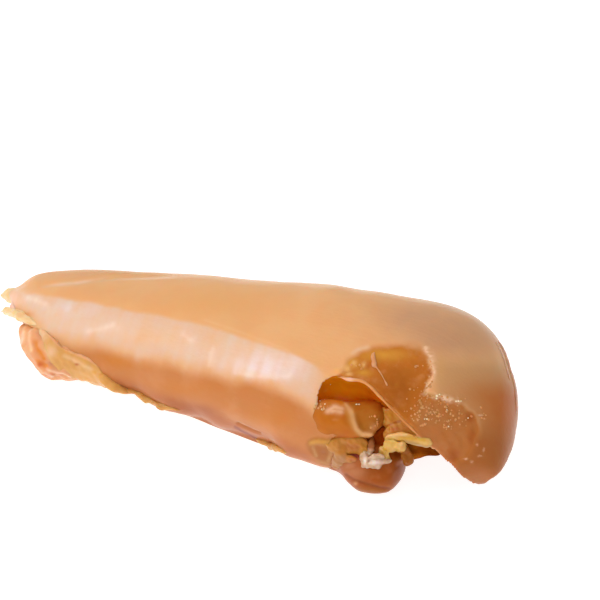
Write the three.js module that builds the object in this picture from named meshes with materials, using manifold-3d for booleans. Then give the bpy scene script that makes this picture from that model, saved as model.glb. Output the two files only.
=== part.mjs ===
// A raw chicken breast: one boneless, skinless breast half, lying on its rib side over its inner fillet.
// Millimetres, +Z up. The thick neck end is at +X, the thin tip at -X, and the long front side, with the
// torn pocket in it, is at -Y. The underside is flat on z = 0, where the soft meat rests.
import * as THREE from 'three';
import { ParametricGeometry } from 'three/addons/geometries/ParametricGeometry.js';
import { mergeVertices } from 'three/addons/utils/BufferGeometryUtils.js';
import Module from 'manifold-3d';

const wasm = await Module();
wasm.setup();

// Driving dimensions
const GAP = 0.3;                   // between a piece and its neighbour
const BELOW = 2;                   // how far a cutter reaches below the underside
const ORIGIN = [-0.2, -2.1, 0];    // puts the middle of the whole part's box over x = 0, y = 0

// The big muscle: a superellipse section carried from the tip to the neck
const TIP = { x: -91, round: 34, y: 3, z: 13, curve: 2, power: 0.6 };
const NECK = { x: 95, round: 36, y: 9, z: 12, curve: 2.2, power: 0.5 };
const UPPER_POWER = 2.15;          // 2 is an ellipse, more is squarer
const LOWER_POWER = 3;
const MUSCLE_MESH = [36, 48];      // sides of a section, steps along

// Its sections along X: the crest, the front and back flanks, and how low the belly hangs.
const MUSCLE = {
  x: [-92, -76, -54, -24, 6, 41, 68, 96],
  crestZ: [23, 24.8, 27.5, 32, 37.5, 42, 43, 40],
  crestY: [4, 4, 4, 2, 1, 3, 7, 9],
  frontY: [-12, -14, -18, -21.5, -26, -29.5, -27, -22],
  frontZ: [13, 13, 12, 12, 13, 15, 15, 13],
  backY: [16, 19.6, 25, 30, 32, 35, 38, 37],
  backZ: [12, 12, 12, 13, 14, 15, 16, 16],
  bellyZ: [7, 6, 2.5, -2, -2.5, -2.5, -2.5, -2],
};

// Soft pulls on the muscle: every point moves by `move`, fading out over `reach` from `at`.
const PULLS = [
  { at: [93, -8, 6], reach: 16, move: [5.5, -9, 0] },     // the tongue that curls down at the neck end
  { at: [62, -15, 36], reach: 12, move: [0, 1.2, -1.2] },  // the shallow dish of bare meat
];

// The torn pocket: its outline on the front side, clockwise as seen from -Y, and how deep it goes.
const POCKET = {
  outline: [[41, 28.5], [42.5, 33], [47, 34.7], [53.5, 34.3], [60, 32], [67, 28], [74, 23], [80.5, 16.5],
    [88, 9], [94, -5], [54, -5], [52, 16], [43, 18]],
  centre: [64, 14],
  frontY: -50,
  rimY: -24,       // from here inwards it climbs and opens out, so the rim overhangs it
  backY: -1,
  climb: 1.5,
  flare: 0.08,
  roundness: 7,
  mesh: [28, 14],
};

// Every other piece is a spindle: a path, with half widths and half heights along it and closed ends.
const SPINDLE_POWER = 2.2;

const INNER_FILLET = {
  path: [[-75, -10, 8.8], [-62, -13.5, 8], [-34, -5, 8], [1, -2, 8.5], [38, -8, 8.5], [57, -20.5, 8],
    [69, -28.5, 6.5]],
  width: [7, 10.5, 11, 12, 12, 12, 10],
  height: [8, 9, 9, 9.5, 10, 9.5, 8],
  ends: 6,
  mesh: [16, 26],
};
const POCKET_FOLD = {
  path: [[36.5, -19.5, 18.7], [48.5, -20.5, 20.7], [60.5, -19, 23.3]],
  width: [6.5, 7.5, 5.5],
  height: [5.8, 6.7, 4.8],
  ends: 2.2,
  mesh: [16, 16],
};
const RIM_FAT = {
  path: [[-70, -13, 16.8], [-63.5, -15, 16.2], [-57, -18.6, 14.6], [-51, -20.5, 11.5], [-45.5, -19.6, 8.6],
    [-40, -18.4, 5.6], [-34, -18, 3.6], [-29, -18.4, 2]],
  width: [1.2, 1.8, 2.4, 2.8, 2.8, 2.6, 2, 1.2],
  height: [1.2, 1.8, 2.2, 2.6, 3.2, 3.2, 2.4, 1.4],
  ends: 5,
  mesh: [10, 22],
};
const TIP_FAT = {
  path: [[-97, 3, 12.5], [-91, 3.2, 13], [-84, 3, 14]],
  width: [1.2, 3.6, 4.5],
  height: [1, 2.6, 3.6],
  ends: 4,
  mesh: [10, 10],
};
const TIP_STRIP = {
  path: [[-90, -5, 11.2], [-81, -8, 13], [-70, -12, 15]],
  width: [0.8, 1.6, 2],
  height: [0.8, 1.6, 2],
  ends: 4,
  mesh: [8, 10],
};
const FAT_FINGER = {
  path: [[61.5, -21.5, 18.5], [67.2, -23, 22], [72, -22.6, 22.3], [77.5, -21, 20.3]],
  width: [1.6, 1.8, 1.8, 1.4],
  height: [1.8, 1.5, 1.5, 1.3],
  ends: 4,
  mesh: [8, 14],
};
const FAT_STUB = {
  path: [[62, -24, 15.8], [65, -24.6, 18], [69.5, -25.5, 20.2]],
  width: [1.8, 2.2, 2],
  height: [1.8, 2.2, 2],
  ends: 3,
  mesh: [8, 10],
};
const FAT_DROP = {
  path: [[67.5, -21.5, 17.5], [70.5, -22.5, 14.5], [70.8, -23, 10.5]],
  width: [1.5, 1.8, 1.2],
  height: [1.5, 1.9, 1.4],
  ends: 3,
  mesh: [8, 10],
};
const TORN_TISSUE = {
  path: [[54.5, -27, 17], [58.5, -30, 16], [64, -31, 15.6], [68.5, -28, 16.6]],
  width: [1.6, 2.2, 2.2, 1.6],
  height: [1.3, 1.5, 1.5, 1.3],
  ends: 3,
  mesh: [8, 14],
};
const EDGE_SHRED_LEFT = {
  path: [[-26, -17, 3], [-17, -19, 2.6], [-8, -20.8, 2.2]],
  width: [1.2, 2, 1.2],
  height: [1.4, 1.8, 1.2],
  ends: 3,
  mesh: [8, 10],
};
const EDGE_SHRED_RIGHT = {
  path: [[20, -21, 2.6], [26, -22.7, 3], [32, -24.2, 2.2]],
  width: [1.2, 1.8, 1],
  height: [1.4, 2, 1.2],
  ends: 3,
  mesh: [8, 10],
};

// Curves

// A smooth curve through (knots, values): at each knot it has the slope between its two neighbours.
function curveValue(knots, values, x) {
  const last = knots.length - 1;
  const at = THREE.MathUtils.clamp(x, knots[0], knots[last]);
  let i = 0;
  while (i < last - 1 && at >= knots[i + 1]) i += 1;
  const slope = (k) => {
    const before = Math.max(k - 1, 0);
    const after = Math.min(k + 1, last);
    return (values[after] - values[before]) / (knots[after] - knots[before]);
  };
  const span = knots[i + 1] - knots[i];
  const t = (at - knots[i]) / span;
  return (2 * t ** 3 - 3 * t ** 2 + 1) * values[i] + (t ** 3 - 2 * t ** 2 + t) * span * slope(i)
    + (3 * t ** 2 - 2 * t ** 3) * values[i + 1] + (t ** 3 - t ** 2) * span * slope(i + 1);
}

// Even steps along a piece, closer together at both ends, where it rounds off.
function eased(along) {
  return (1 - Math.cos(Math.PI * along)) / 2;
}

// The signed power that turns a circle's cosine or sine into a superellipse's.
function squared(value, power) {
  return Math.sign(value) * Math.abs(value) ** (2 / power);
}

// Surfaces, each a function of the way around a section and the way along the piece

function musclePoint(around, along, out) {
  const x = TIP.x + (NECK.x - TIP.x) * eased(along);
  const size = (name) => curveValue(MUSCLE.x, MUSCLE[name], x);
  const angle = 2 * Math.PI * around;
  const power = Math.sin(angle) >= 0 ? UPPER_POWER : LOWER_POWER;
  const side = squared(Math.cos(angle), power);
  const rise = squared(Math.sin(angle), power);
  const flankY = side >= 0 ? size('backY') : size('frontY');
  const flankZ = side >= 0 ? size('backZ') : size('frontZ');
  const endZ = rise >= 0 ? size('crestZ') : size('bellyZ');
  const y = size('crestY') + Math.abs(side) * (flankY - size('crestY'));
  const z = flankZ + Math.abs(rise) * (endZ - flankZ);

  const end = x < 0 ? TIP : NECK;
  const closing = Math.max(0, 1 - Math.abs(end.x - x) / end.round);
  const full = Math.max(0, 1 - closing ** end.curve) ** end.power;
  out.set(x, end.y + full * (y - end.y), end.z + full * (z - end.z));

  for (const { at, reach, move } of PULLS) {
    const far = out.distanceTo(new THREE.Vector3(...at)) / reach;
    out.addScaledVector(new THREE.Vector3(...move), Math.exp(-far * far));
  }
  out.z = Math.max(out.z, 0);
}

const pocketOutline = new THREE.CatmullRomCurve3(
  POCKET.outline.map(([x, z]) => new THREE.Vector3(x, 0, z)), true, 'catmullrom', 0.5);

function pocketPoint(around, along, out) {
  const { centre, frontY, rimY, backY, climb, flare, roundness } = POCKET;
  const t = eased(along);
  const y = frontY + t * (backY - frontY);
  const inside = Math.max(0, (y - rimY) / (backY - rimY));
  const full = (1 - Math.abs(2 * t - 1) ** roundness) ** 0.5 * (1 + flare * inside);
  const onRim = pocketOutline.getPoint(around);
  out.set(centre[0] + full * (onRim.x - centre[0]), y,
    centre[1] + full * (onRim.z - centre[1]) + climb * inside);
}

function spindlePoint(piece, curve, around, along, grow, out) {
  const { path, width, height, ends } = piece;
  const t = eased(along);
  const knots = path.map((_, i) => i / (path.length - 1));
  const full = (1 - Math.abs(2 * t - 1) ** ends) ** 0.5;
  const halfWidth = (curveValue(knots, width, t) + grow) * full;
  const halfHeight = (curveValue(knots, height, t) + grow) * full;
  const ahead = curve.getTangent(t);
  const across = new THREE.Vector3(0, 0, 1).cross(ahead).normalize();
  const up = ahead.clone().cross(across);
  const angle = 2 * Math.PI * around;
  out.copy(curve.getPoint(t))
    .addScaledVector(ahead, (2 * t - 1) * grow)
    .addScaledVector(across, squared(Math.cos(angle), SPINDLE_POWER) * halfWidth)
    .addScaledVector(up, squared(Math.sin(angle), SPINDLE_POWER) * halfHeight);
  out.z = Math.max(out.z, grow > 0 ? -BELOW : 0);
}

// Solids

function solidOf(pointAt, [sides, steps]) {
  const geometry = new ParametricGeometry(pointAt, sides, steps);
  geometry.deleteAttribute('normal');
  geometry.deleteAttribute('uv');
  const merged = mergeVertices(geometry, 1e-3);
  const corners = Array.from(merged.index.array);
  const triangles = [];
  for (let i = 0; i < corners.length; i += 3) {
    const [a, b, c] = corners.slice(i, i + 3);
    if (a !== b && b !== c && c !== a) triangles.push(a, b, c);
  }
  return new wasm.Manifold(new wasm.Mesh({
    numProp: 3,
    vertProperties: merged.attributes.position.array,
    triVerts: Uint32Array.from(triangles),
  }));
}

function spindle(piece, grow = 0) {
  const points = piece.path.map((p) => new THREE.Vector3(...p));
  const curve = new THREE.CatmullRomCurve3(points, false, 'catmullrom', 0.5);
  return solidOf((u, v, out) => spindlePoint(piece, curve, u, v, grow, out), piece.mesh);
}

// The biggest connected body of a solid's triangles, so that no loose scrap of a cut stays.
function biggestBody({ vertProperties, triVerts }) {
  const owner = Array.from({ length: vertProperties.length / 3 }, (_, i) => i);
  const find = (i) => {
    let root = i;
    while (owner[root] !== root) root = owner[root];
    while (owner[i] !== root) [owner[i], i] = [root, owner[i]];
    return root;
  };
  for (let i = 0; i < triVerts.length; i += 3) {
    owner[find(triVerts[i])] = find(triVerts[i + 1]);
    owner[find(triVerts[i + 1])] = find(triVerts[i + 2]);
  }
  const bodies = new Map();
  for (let i = 0; i < triVerts.length; i += 3) {
    const root = find(triVerts[i]);
    if (!bodies.has(root)) bodies.set(root, []);
    bodies.get(root).push(triVerts[i], triVerts[i + 1], triVerts[i + 2]);
  }
  return [...bodies.values()].sort((a, b) => b.length - a.length)[0];
}

function geometryOf(solid) {
  const mesh = solid.getMesh();
  const geometry = new THREE.BufferGeometry();
  geometry.setAttribute('position', new THREE.BufferAttribute(mesh.vertProperties, 3));
  geometry.setIndex(biggestBody(mesh));
  geometry.computeVertexNormals();
  return geometry;
}

function finish(color, roughness) {
  return new THREE.MeshStandardMaterial({ color, roughness, metalness: 0 });
}

const MEAT = finish('#e2a679', 0.35);
const PALE_MEAT = finish('#d99a72', 0.3);
const DEEP_MEAT = finish('#bf6d26', 0.2);
const FAT = finish('#e6bd78', 0.35);
const TISSUE = finish('#e9c0a2', 0.3);

// The pieces in the order in which they are cut: each gives way to those before it, the big muscle to all.
const PIECES = [
  ['inner_fillet', INNER_FILLET, PALE_MEAT],
  ['pocket_fold', POCKET_FOLD, DEEP_MEAT],
  ['rim_fat', RIM_FAT, FAT],
  ['tip_fat', TIP_FAT, FAT],
  ['tip_strip', TIP_STRIP, FAT],
  ['fat_finger', FAT_FINGER, FAT],
  ['fat_stub', FAT_STUB, FAT],
  ['fat_drop', FAT_DROP, FAT],
  ['torn_tissue', TORN_TISSUE, TISSUE],
  ['edge_shred_left', EDGE_SHRED_LEFT, FAT],
  ['edge_shred_right', EDGE_SHRED_RIGHT, FAT],
];

const breast = new THREE.Group();
breast.position.set(...ORIGIN);

function addPiece(name, solid, material) {
  const mesh = new THREE.Mesh(geometryOf(solid), material);
  mesh.name = name;
  breast.add(mesh);
}

const earlier = [];
for (const [name, piece, material] of PIECES) {
  let solid = spindle(piece);
  for (const cutter of earlier) solid = solid.subtract(cutter);
  addPiece(name, solid, material);
  earlier.push(spindle(piece, GAP));
}

let muscle = solidOf(musclePoint, MUSCLE_MESH);
muscle = muscle.subtract(solidOf(pocketPoint, POCKET.mesh));
for (const cutter of earlier) muscle = muscle.subtract(cutter);
addPiece('big_muscle', muscle, MEAT);

export default breast;
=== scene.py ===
# %% [markdown]
# # A raw chicken breast
#
# One boneless, skinless breast half lies on its rib side. Its big muscle is a smooth loaf with a thin tip and
# a thick neck end. Under its long front side lies the inner fillet, which shows as a pink lobe at the tip and
# as a round lobe at the neck, and above that round lobe the meat is torn open into a pocket with shreds of
# fat in it. Raw meat has no straight line and no even colour, so nearly every form here is a smooth surface
# worked out with numpy, closed into one skin by a voxel remesh, and then pushed in and out by small amounts.
#
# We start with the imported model. It is the fixed frame that every new piece is built around.

import bpy
import numpy as np
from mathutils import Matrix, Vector
from mathutils.bvhtree import BVHTree


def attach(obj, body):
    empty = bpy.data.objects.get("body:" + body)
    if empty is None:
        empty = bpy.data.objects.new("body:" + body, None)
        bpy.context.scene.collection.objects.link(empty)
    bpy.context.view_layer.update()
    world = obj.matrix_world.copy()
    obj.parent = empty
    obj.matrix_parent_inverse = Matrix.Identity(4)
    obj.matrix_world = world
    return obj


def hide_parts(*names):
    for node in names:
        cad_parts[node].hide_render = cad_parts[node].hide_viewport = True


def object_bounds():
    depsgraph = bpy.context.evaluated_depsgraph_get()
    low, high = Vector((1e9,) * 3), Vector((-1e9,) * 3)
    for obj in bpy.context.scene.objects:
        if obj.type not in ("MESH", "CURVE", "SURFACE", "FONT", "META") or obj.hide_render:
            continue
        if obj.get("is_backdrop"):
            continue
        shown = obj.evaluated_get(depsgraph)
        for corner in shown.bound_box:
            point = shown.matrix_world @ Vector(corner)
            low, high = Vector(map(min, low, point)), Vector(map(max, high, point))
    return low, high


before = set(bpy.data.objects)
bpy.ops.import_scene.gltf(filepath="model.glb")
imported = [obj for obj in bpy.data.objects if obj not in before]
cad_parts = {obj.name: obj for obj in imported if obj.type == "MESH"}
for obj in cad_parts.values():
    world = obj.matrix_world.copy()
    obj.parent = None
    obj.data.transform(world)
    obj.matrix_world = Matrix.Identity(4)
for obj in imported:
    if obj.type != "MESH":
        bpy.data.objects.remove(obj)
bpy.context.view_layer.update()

# %% [markdown]
# ## The camera
#
# The picture looks down on the breast from the front and a little from its thick end. A short telephoto lens
# half a metre away keeps the shape calm. The camera comes first, because the next cells use it: the place of
# a streak or a fat spot is easiest to read off the picture, and the camera turns it into a place on the meat.

# %% Set up the camera
MM = 0.001
PICTURE = 600                      # the picture's side in pixels
LENS, SENSOR = 85.0, 36.0          # mm
AZIMUTH, ELEVATION = np.radians(24), np.radians(35)
DISTANCE = 505.0                   # mm from the camera to the point that it aims at
AIM = np.array((3.4, 43.9, 10.0))  # mm, the breast lies low in the picture

BACK = np.array((np.sin(AZIMUTH) * np.cos(ELEVATION), -np.cos(AZIMUTH) * np.cos(ELEVATION),
                 np.sin(ELEVATION)))      # from the breast to the camera
RIGHT = np.array((np.cos(AZIMUTH), np.sin(AZIMUTH), 0.0))
UP = np.cross(BACK, RIGHT)
EYE = AIM + DISTANCE * BACK
FOCAL = LENS / SENSOR * PICTURE    # pixels

camera = bpy.data.objects.new("camera", bpy.data.cameras.new("camera"))
camera.data.lens = LENS
camera.data.sensor_width = SENSOR
camera.location = Vector(EYE * MM)
camera.rotation_euler = Vector(BACK).to_track_quat("Z", "Y").to_euler()
bpy.context.scene.collection.objects.link(camera)
bpy.context.scene.camera = camera


def in_picture(points):
    """The pixel columns and rows of points in mm: their places across and up the view, over their depth."""
    away = points - EYE
    depth = -(away @ BACK)
    return PICTURE / 2 + FOCAL * (away @ RIGHT) / depth, PICTURE / 2 - FOCAL * (away @ UP) / depth


def view_lines(pixels):
    """The directions in which the camera sees these pixels, one unit long."""
    pixels = np.array(pixels, float)
    across, down = pixels[:, :1] - PICTURE / 2, pixels[:, 1:2] - PICTURE / 2
    lines = across / FOCAL * RIGHT - down / FOCAL * UP - BACK
    return lines / np.linalg.norm(lines, axis=1, keepdims=True)


def hits_on(trees, pixels):
    """Where the view lines through these pixels first meet one of the surfaces, in mm, and which way the
    surface faces there. Both are nan where a line meets nothing."""
    places, facings = np.full((len(pixels), 3), np.nan), np.full((len(pixels), 3), np.nan)
    for i, line in enumerate(view_lines(pixels)):
        hits = [tree.ray_cast(Vector(EYE * MM), Vector(line)) for tree in trees]
        hits = [(far, place, facing) for place, facing, _, far in hits if place is not None]
        if hits:
            _, place, facing = min(hits, key=lambda hit: hit[0])
            places[i], facings[i] = np.array(place) / MM, facing
    return places, facings


def place_on(trees, pixels, lift=0.0):
    """The places that these pixels show of the surfaces, in mm, `lift` mm off them."""
    places, facings = hits_on(trees, pixels)
    if np.isnan(places).any():
        raise ValueError(f"a view line misses the meat: {list(pixels)}")
    return places + lift * facings


# %% [markdown]
# ## Curves and surfaces
#
# The big muscle is a superellipse, a softly squared ellipse, carried from the tip to the neck. Every other
# piece starts as a spindle: a path with a half width and a half height along it, closed at both ends. Both
# are functions of the way around and the way along, worked out for the whole grid at once.

# %% Smooth curves and closed skins
def curve_value(knots, values, at):
    """A cubic curve through (knots, values) that has, at each knot, the slope between its two neighbours."""
    knots, values = np.asarray(knots, float), np.asarray(values, float)
    before = np.maximum(np.arange(len(knots)) - 1, 0)
    after = np.minimum(np.arange(len(knots)) + 1, len(knots) - 1)
    slopes = (values[after] - values[before]) / (knots[after] - knots[before])
    at = np.clip(at, knots[0], knots[-1])
    i = np.clip(np.searchsorted(knots, at, side="right") - 1, 0, len(knots) - 2)
    span = knots[i + 1] - knots[i]
    t = (at - knots[i]) / span
    start = (2 * t**3 - 3 * t**2 + 1) * values[i] + (t**3 - 2 * t**2 + t) * span * slopes[i]
    return start + (3 * t**2 - 2 * t**3) * values[i + 1] + (t**3 - t**2) * span * slopes[i + 1]


def eased(count):
    """Steps from 0 to 1 that lie closer together at both ends: half of 1 minus the cosine of a half turn."""
    return (1 - np.cos(np.pi * np.linspace(0, 1, count))) / 2


def squared(wave, power):
    """The signed power 2 / power of a cosine or sine, which squares an ellipse off as power passes 2."""
    return np.sign(wave) * np.abs(wave) ** (2 / power)


def smooth(low, high, value):
    """0 below low and 1 above high, with 3t² - 2t³ of the way t in between."""
    t = np.clip((value - low) / (high - low), 0, 1)
    return t * t * (3 - 2 * t)


def skin_of(rings):
    """Points and faces of a grid of rings. Each ring is closed, and both end rings shrink to a point."""
    steps, sides = rings.shape[0] - 2, rings.shape[1]
    points = np.vstack([rings[0].mean(axis=0), rings[1:-1].reshape(-1, 3), rings[-1].mean(axis=0)])
    index = 1 + np.arange(steps * sides).reshape(steps, sides)
    beside = np.roll(index, -1, axis=1)
    quads = np.stack([index[:-1], beside[:-1], beside[1:], index[1:]], axis=-1).reshape(-1, 4)
    first = np.stack([np.zeros(sides, int), beside[0], index[0]], axis=-1)
    last = np.stack([np.full(sides, len(points) - 1), index[-1], beside[-1]], axis=-1)
    triangles = np.vstack([first, last, quads[:, :3], quads[:, (0, 2, 3)]])
    a, b, c = (points[triangles[:, k]] for k in range(3))
    inside_out = (a * np.cross(b, c)).sum() < 0
    turn = -1 if inside_out else 1
    return points, [face[::turn].tolist() for group in (quads, first, last) for face in group]


def new_piece(name, skins):
    """A mesh object of one or more closed skins, its places in the mesh and its object at the origin."""
    points, faces, passed = [], [], 0
    for skin_points, skin_faces in skins:
        points.append(skin_points)
        faces += [[corner + passed for corner in face] for face in skin_faces]
        passed += len(skin_points)
    mesh = bpy.data.meshes.new(name)
    mesh.from_pydata(np.vstack(points) * MM, [], faces)
    piece = bpy.data.objects.new(name, mesh)
    bpy.context.scene.collection.objects.link(piece)
    return piece


# %% [markdown]
# ## The big muscle's form
#
# These are the driving sizes of the big muscle, in millimetres: along x its crest, its two flanks and how low
# its belly hangs. The tip and the neck close like a bullet's nose. Two soft pulls then change the neck end:
# one drags its front corner down and out into the tongue, and one flattens the shoulder over the pocket.

# %% The muscle as a function of the way around and the way along
ORIGIN = np.array((-0.2, -2.1, 0.0))
TIP = dict(x=-91, round=34, y=3, z=13, curve=2, power=0.6)
NECK = dict(x=95, round=36, y=9, z=12, curve=2.2, power=0.5)
UPPER_POWER, LOWER_POWER = 2.15, 3.0
SECTIONS = dict(
    x=(-92, -76, -54, -24, 6, 41, 68, 96),
    crest_z=(23, 24.8, 27.5, 32, 37.5, 42, 43, 40),
    crest_y=(4, 4, 4, 2, 1, 3, 7, 9),
    front_y=(-12, -14, -18, -21.5, -26, -29.5, -27, -22),
    front_z=(13, 13, 12, 12, 13, 15, 15, 13),
    back_y=(16, 19.6, 25, 30, 32, 35, 38, 37),
    back_z=(12, 12, 12, 13, 14, 15, 16, 16),
    belly_z=(7, 6, 2.5, -2, -2.5, -2.5, -2.5, -2),
)
PULLS = (      # place, reach in mm, move in mm
    ((93, -8, 6), 16, (5.5, -9, 0)),
    ((62, -15, 36), 12, (0, 1.2, -1.2)),
)


def closing_of(x):
    """How full a section still is at x: (1 - c ** curve) ** power, where c grows from 0 to 1 over the
    rounding of an end."""
    full = np.ones_like(x)
    for end, here in ((TIP, x < 0), (NECK, x >= 0)):
        c = np.clip(1 - np.abs(end["x"] - x) / end["round"], 0, 1)
        full = np.where(here, np.clip(1 - c ** end["curve"], 0, 1) ** end["power"], full)
    return full


def muscle_rings(sides, steps):
    """Rings of the muscle: at each x a superellipse of crest, flanks and belly, shrunk towards the ends."""
    x = (TIP["x"] + (NECK["x"] - TIP["x"]) * eased(steps))[:, None]
    size = {name: curve_value(SECTIONS["x"], SECTIONS[name], x) for name in SECTIONS}
    angle = 2 * np.pi * np.arange(sides)[None, :] / sides
    power = np.where(np.sin(angle) >= 0, UPPER_POWER, LOWER_POWER)
    side, rise = squared(np.cos(angle), power), squared(np.sin(angle), power)
    flank_y = np.where(side >= 0, size["back_y"], size["front_y"])
    flank_z = np.where(side >= 0, size["back_z"], size["front_z"])
    end_z = np.where(rise >= 0, size["crest_z"], size["belly_z"])
    y = size["crest_y"] + np.abs(side) * (flank_y - size["crest_y"])
    z = flank_z + np.abs(rise) * (end_z - flank_z)
    full = closing_of(x)
    middle_y = np.where(x < 0, TIP["y"], NECK["y"])
    middle_z = np.where(x < 0, TIP["z"], NECK["z"])
    rings = np.stack([x + 0 * y, middle_y + full * (y - middle_y), middle_z + full * (z - middle_z)], axis=-1)
    for place, reach, move in PULLS:
        far = np.linalg.norm(rings - np.array(place), axis=-1, keepdims=True) / reach
        rings = rings + np.array(move) * np.exp(-far * far)
    rings[..., 2] = np.maximum(rings[..., 2], 0)
    return rings + ORIGIN


# %% The uncut muscle
breast = new_piece("breast_meat", [skin_of(muscle_rings(sides=200, steps=220))])
uncut_tree = BVHTree.FromObject(breast, bpy.context.evaluated_depsgraph_get())
print("uncut muscle:", len(breast.data.vertices), "points")

# %% [markdown]
# ## The picture as a mould
#
# Meat and fat in the pocket are hard to place by x, y and z, but easy to see in the picture. So a place there
# is given by a column, a row and how many millimetres it lies behind the skin, along the line of sight. Two
# kinds of form are made that way: a pillow, which fills an outline, and a string, which follows a line.

# %% Places behind the skin, pillows and strings
def closed_curve(points, count):
    """Points on a closed curve through `points`, with the slope between its two neighbours at each one."""
    around = np.arange(-2, len(points) + 3)
    wrapped = np.array(points, float)[around % len(points)]
    at = np.linspace(0, len(points), count, endpoint=False)
    return np.stack([curve_value(around, wrapped[:, k], at) for k in range(wrapped.shape[1])], axis=-1)


def mould_of(trees, columns, rows):
    """A function that gives the places seen at pixels, `depth` mm behind these surfaces. How far the surfaces
    lie is taken as a sum of the ten products of powers of column and row up to the third, fitted to the
    places where they are hit."""
    pixels = np.stack(np.meshgrid(columns, rows), axis=-1).reshape(-1, 2).astype(float)
    middle, reach = pixels.mean(axis=0), np.ptp(pixels, axis=0) / 2

    def powers(column, row):
        across, down = (column - middle[0]) / reach[0], (row - middle[1]) / reach[1]
        return np.stack([across**i * down**j for i in range(4) for j in range(4 - i)], axis=-1)

    places, _ = hits_on(trees, pixels)
    met = ~np.isnan(places[:, 0])
    terms, far = powers(*pixels[met].T), np.linalg.norm(places[met] - EYE, axis=1)
    fit = np.linalg.lstsq(terms, far, rcond=None)[0]
    print("the mould misses the skin by", np.abs(terms @ fit - far).max().round(1), "mm at most")

    def place(column, row, depth):
        column, row, depth = np.broadcast_arrays(column, row, depth)
        lines = view_lines(np.stack([column.ravel(), row.ravel()], axis=-1)).reshape(*column.shape, 3)
        return EYE + lines * (powers(column, row) @ fit + depth)[..., None]

    return place


def pillow_rings(mould, outline, middle, front, back, fullness=2.3, sides=64, steps=40):
    """Rings of a pillow. Its outline and middle are (column, row, mm behind the skin). From front to back the
    outline grows out of the middle and shrinks again as sin ** (2 / fullness), and the depth runs as
    cos ** (2 / fullness) from `front` mm before the seam to `back` mm behind it."""
    turn = np.pi * np.linspace(0, 1, steps)[:, None]
    wide = np.sin(turn) ** (2 / fullness)
    column, row, depth = closed_curve(outline, sides).T
    thick = np.where(np.cos(turn) > 0, front, back) * squared(np.cos(turn), fullness)
    return mould(middle[0] + wide * (column - middle[0]), middle[1] + wide * (row - middle[1]),
                 middle[2] + wide**2 * (depth - middle[2]) - thick)


def string_rings(mould, stops, ends=3.0, sides=24, steps=64):
    """Rings of a string. Each stop is (column, row, mm that its front lies behind the skin, half width in
    pixels, half thickness in mm). Its section is an ellipse, and (1 - |2t - 1| ** ends) ** 0.5 closes it at
    both ends."""
    t = eased(steps)
    stops = np.array(stops, float)
    knots = np.append(0, np.cumsum(np.hypot(*np.diff(stops[:, :2], axis=0).T)))
    knots = knots / knots[-1]
    column, row, front, wide, thick = (curve_value(knots, stops[:, k], t)[:, None] for k in range(5))
    along = np.gradient(column[:, 0], t)[:, None], np.gradient(row[:, 0], t)[:, None]
    length = np.hypot(*along)
    full = ((1 - np.abs(2 * t - 1) ** ends) ** 0.5)[:, None]
    angle = 2 * np.pi * np.arange(sides)[None, :] / sides
    side = wide * full * np.cos(angle)
    return mould(column - side * along[1] / length, row + side * along[0] / length,
                 front + thick * (1 - full * np.sin(angle)))


pocket_mould = mould_of([uncut_tree], columns=np.arange(304, 440, 9), rows=np.arange(376, 450, 8))

# %% [markdown]
# ## The torn pocket
#
# The pocket is cut twice. A bowl, carried along the line of sight, gives the torn rim its exact line in the
# picture and an edge square to the skin. Behind and below it a mouth is carried into the meat along y, down
# to the board, and opens out a little. It is where the inner fillet's thick end comes out.

# %% The pocket's bowl and mouth
RIM_LINE = ((319, 402), (320, 393), (323, 385), (330, 378.5), (337, 376), (345, 378), (353, 379.5),
            (361, 381), (368, 385), (378, 394.5), (390, 407), (403, 420), (416, 433))
BOWL_FOOT = ((414, 440), (398, 446), (372, 446), (350, 442), (337, 435), (326, 429), (320, 421), (318, 411))
BOWL_MIDDLE = (353, 403)               # pixels, as the rim and the foot
BOWL_FRONT, BOWL_DEEP = 8.0, 13.0      # mm before and behind the skin
BOWL_POWER = 2.3                       # how squarely its bottom closes
MOUTH_OUTLINE = ((47, 15), (47.5, 18.5), (50.5, 21), (56, 22), (62, 22.5), (67, 23.6), (71.5, 24), (88, 9),
                 (94, -5), (54, -5), (52, 13))      # x and z in mm, before the shift to the origin
MOUTH_CENTRE = (64, 14)
MOUTH_FRONT_Y, MOUTH_RIM_Y, MOUTH_BACK_Y = -50, -24, 0
MOUTH_FLARE = 0.02                     # share by which it is wider at its back than at its rim
MOUTH_ROUNDNESS = 7                    # how squarely its ends close


def bowl_rings(sides, steps):
    """Rings of the bowl: the rim's outline in the picture, full before the skin, and behind it drawn in
    towards its middle as (1 - (depth / deepest) ** power) ** (1 / power)."""
    depth = (-BOWL_FRONT + (BOWL_DEEP + BOWL_FRONT) * eased(steps))[:, None]
    wide = (1 - np.clip(depth / BOWL_DEEP, 0, 1) ** BOWL_POWER) ** (1 / BOWL_POWER)
    column, row = closed_curve(RIM_LINE + BOWL_FOOT, sides).T
    return pocket_mould(BOWL_MIDDLE[0] + wide * (column - BOWL_MIDDLE[0]),
                        BOWL_MIDDLE[1] + wide * (row - BOWL_MIDDLE[1]), depth)


def mouth_rings(sides, steps):
    """Rings of the mouth: its outline, scaled about its centre, carried along y and closed at both ends."""
    t = eased(steps)[:, None]
    y = MOUTH_FRONT_Y + t * (MOUTH_BACK_Y - MOUTH_FRONT_Y)
    inside = np.clip((y - MOUTH_RIM_Y) / (MOUTH_BACK_Y - MOUTH_RIM_Y), 0, None)
    full = (1 - np.abs(2 * t - 1) ** MOUTH_ROUNDNESS) ** 0.5 * (1 + MOUTH_FLARE * inside)
    outline = closed_curve(MOUTH_OUTLINE, sides)[None, :, :]
    x = MOUTH_CENTRE[0] + full * (outline[..., 0] - MOUTH_CENTRE[0])
    z = MOUTH_CENTRE[1] + full * (outline[..., 1] - MOUTH_CENTRE[1])
    return np.stack([x, y + 0 * x, z], axis=-1) + ORIGIN


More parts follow.
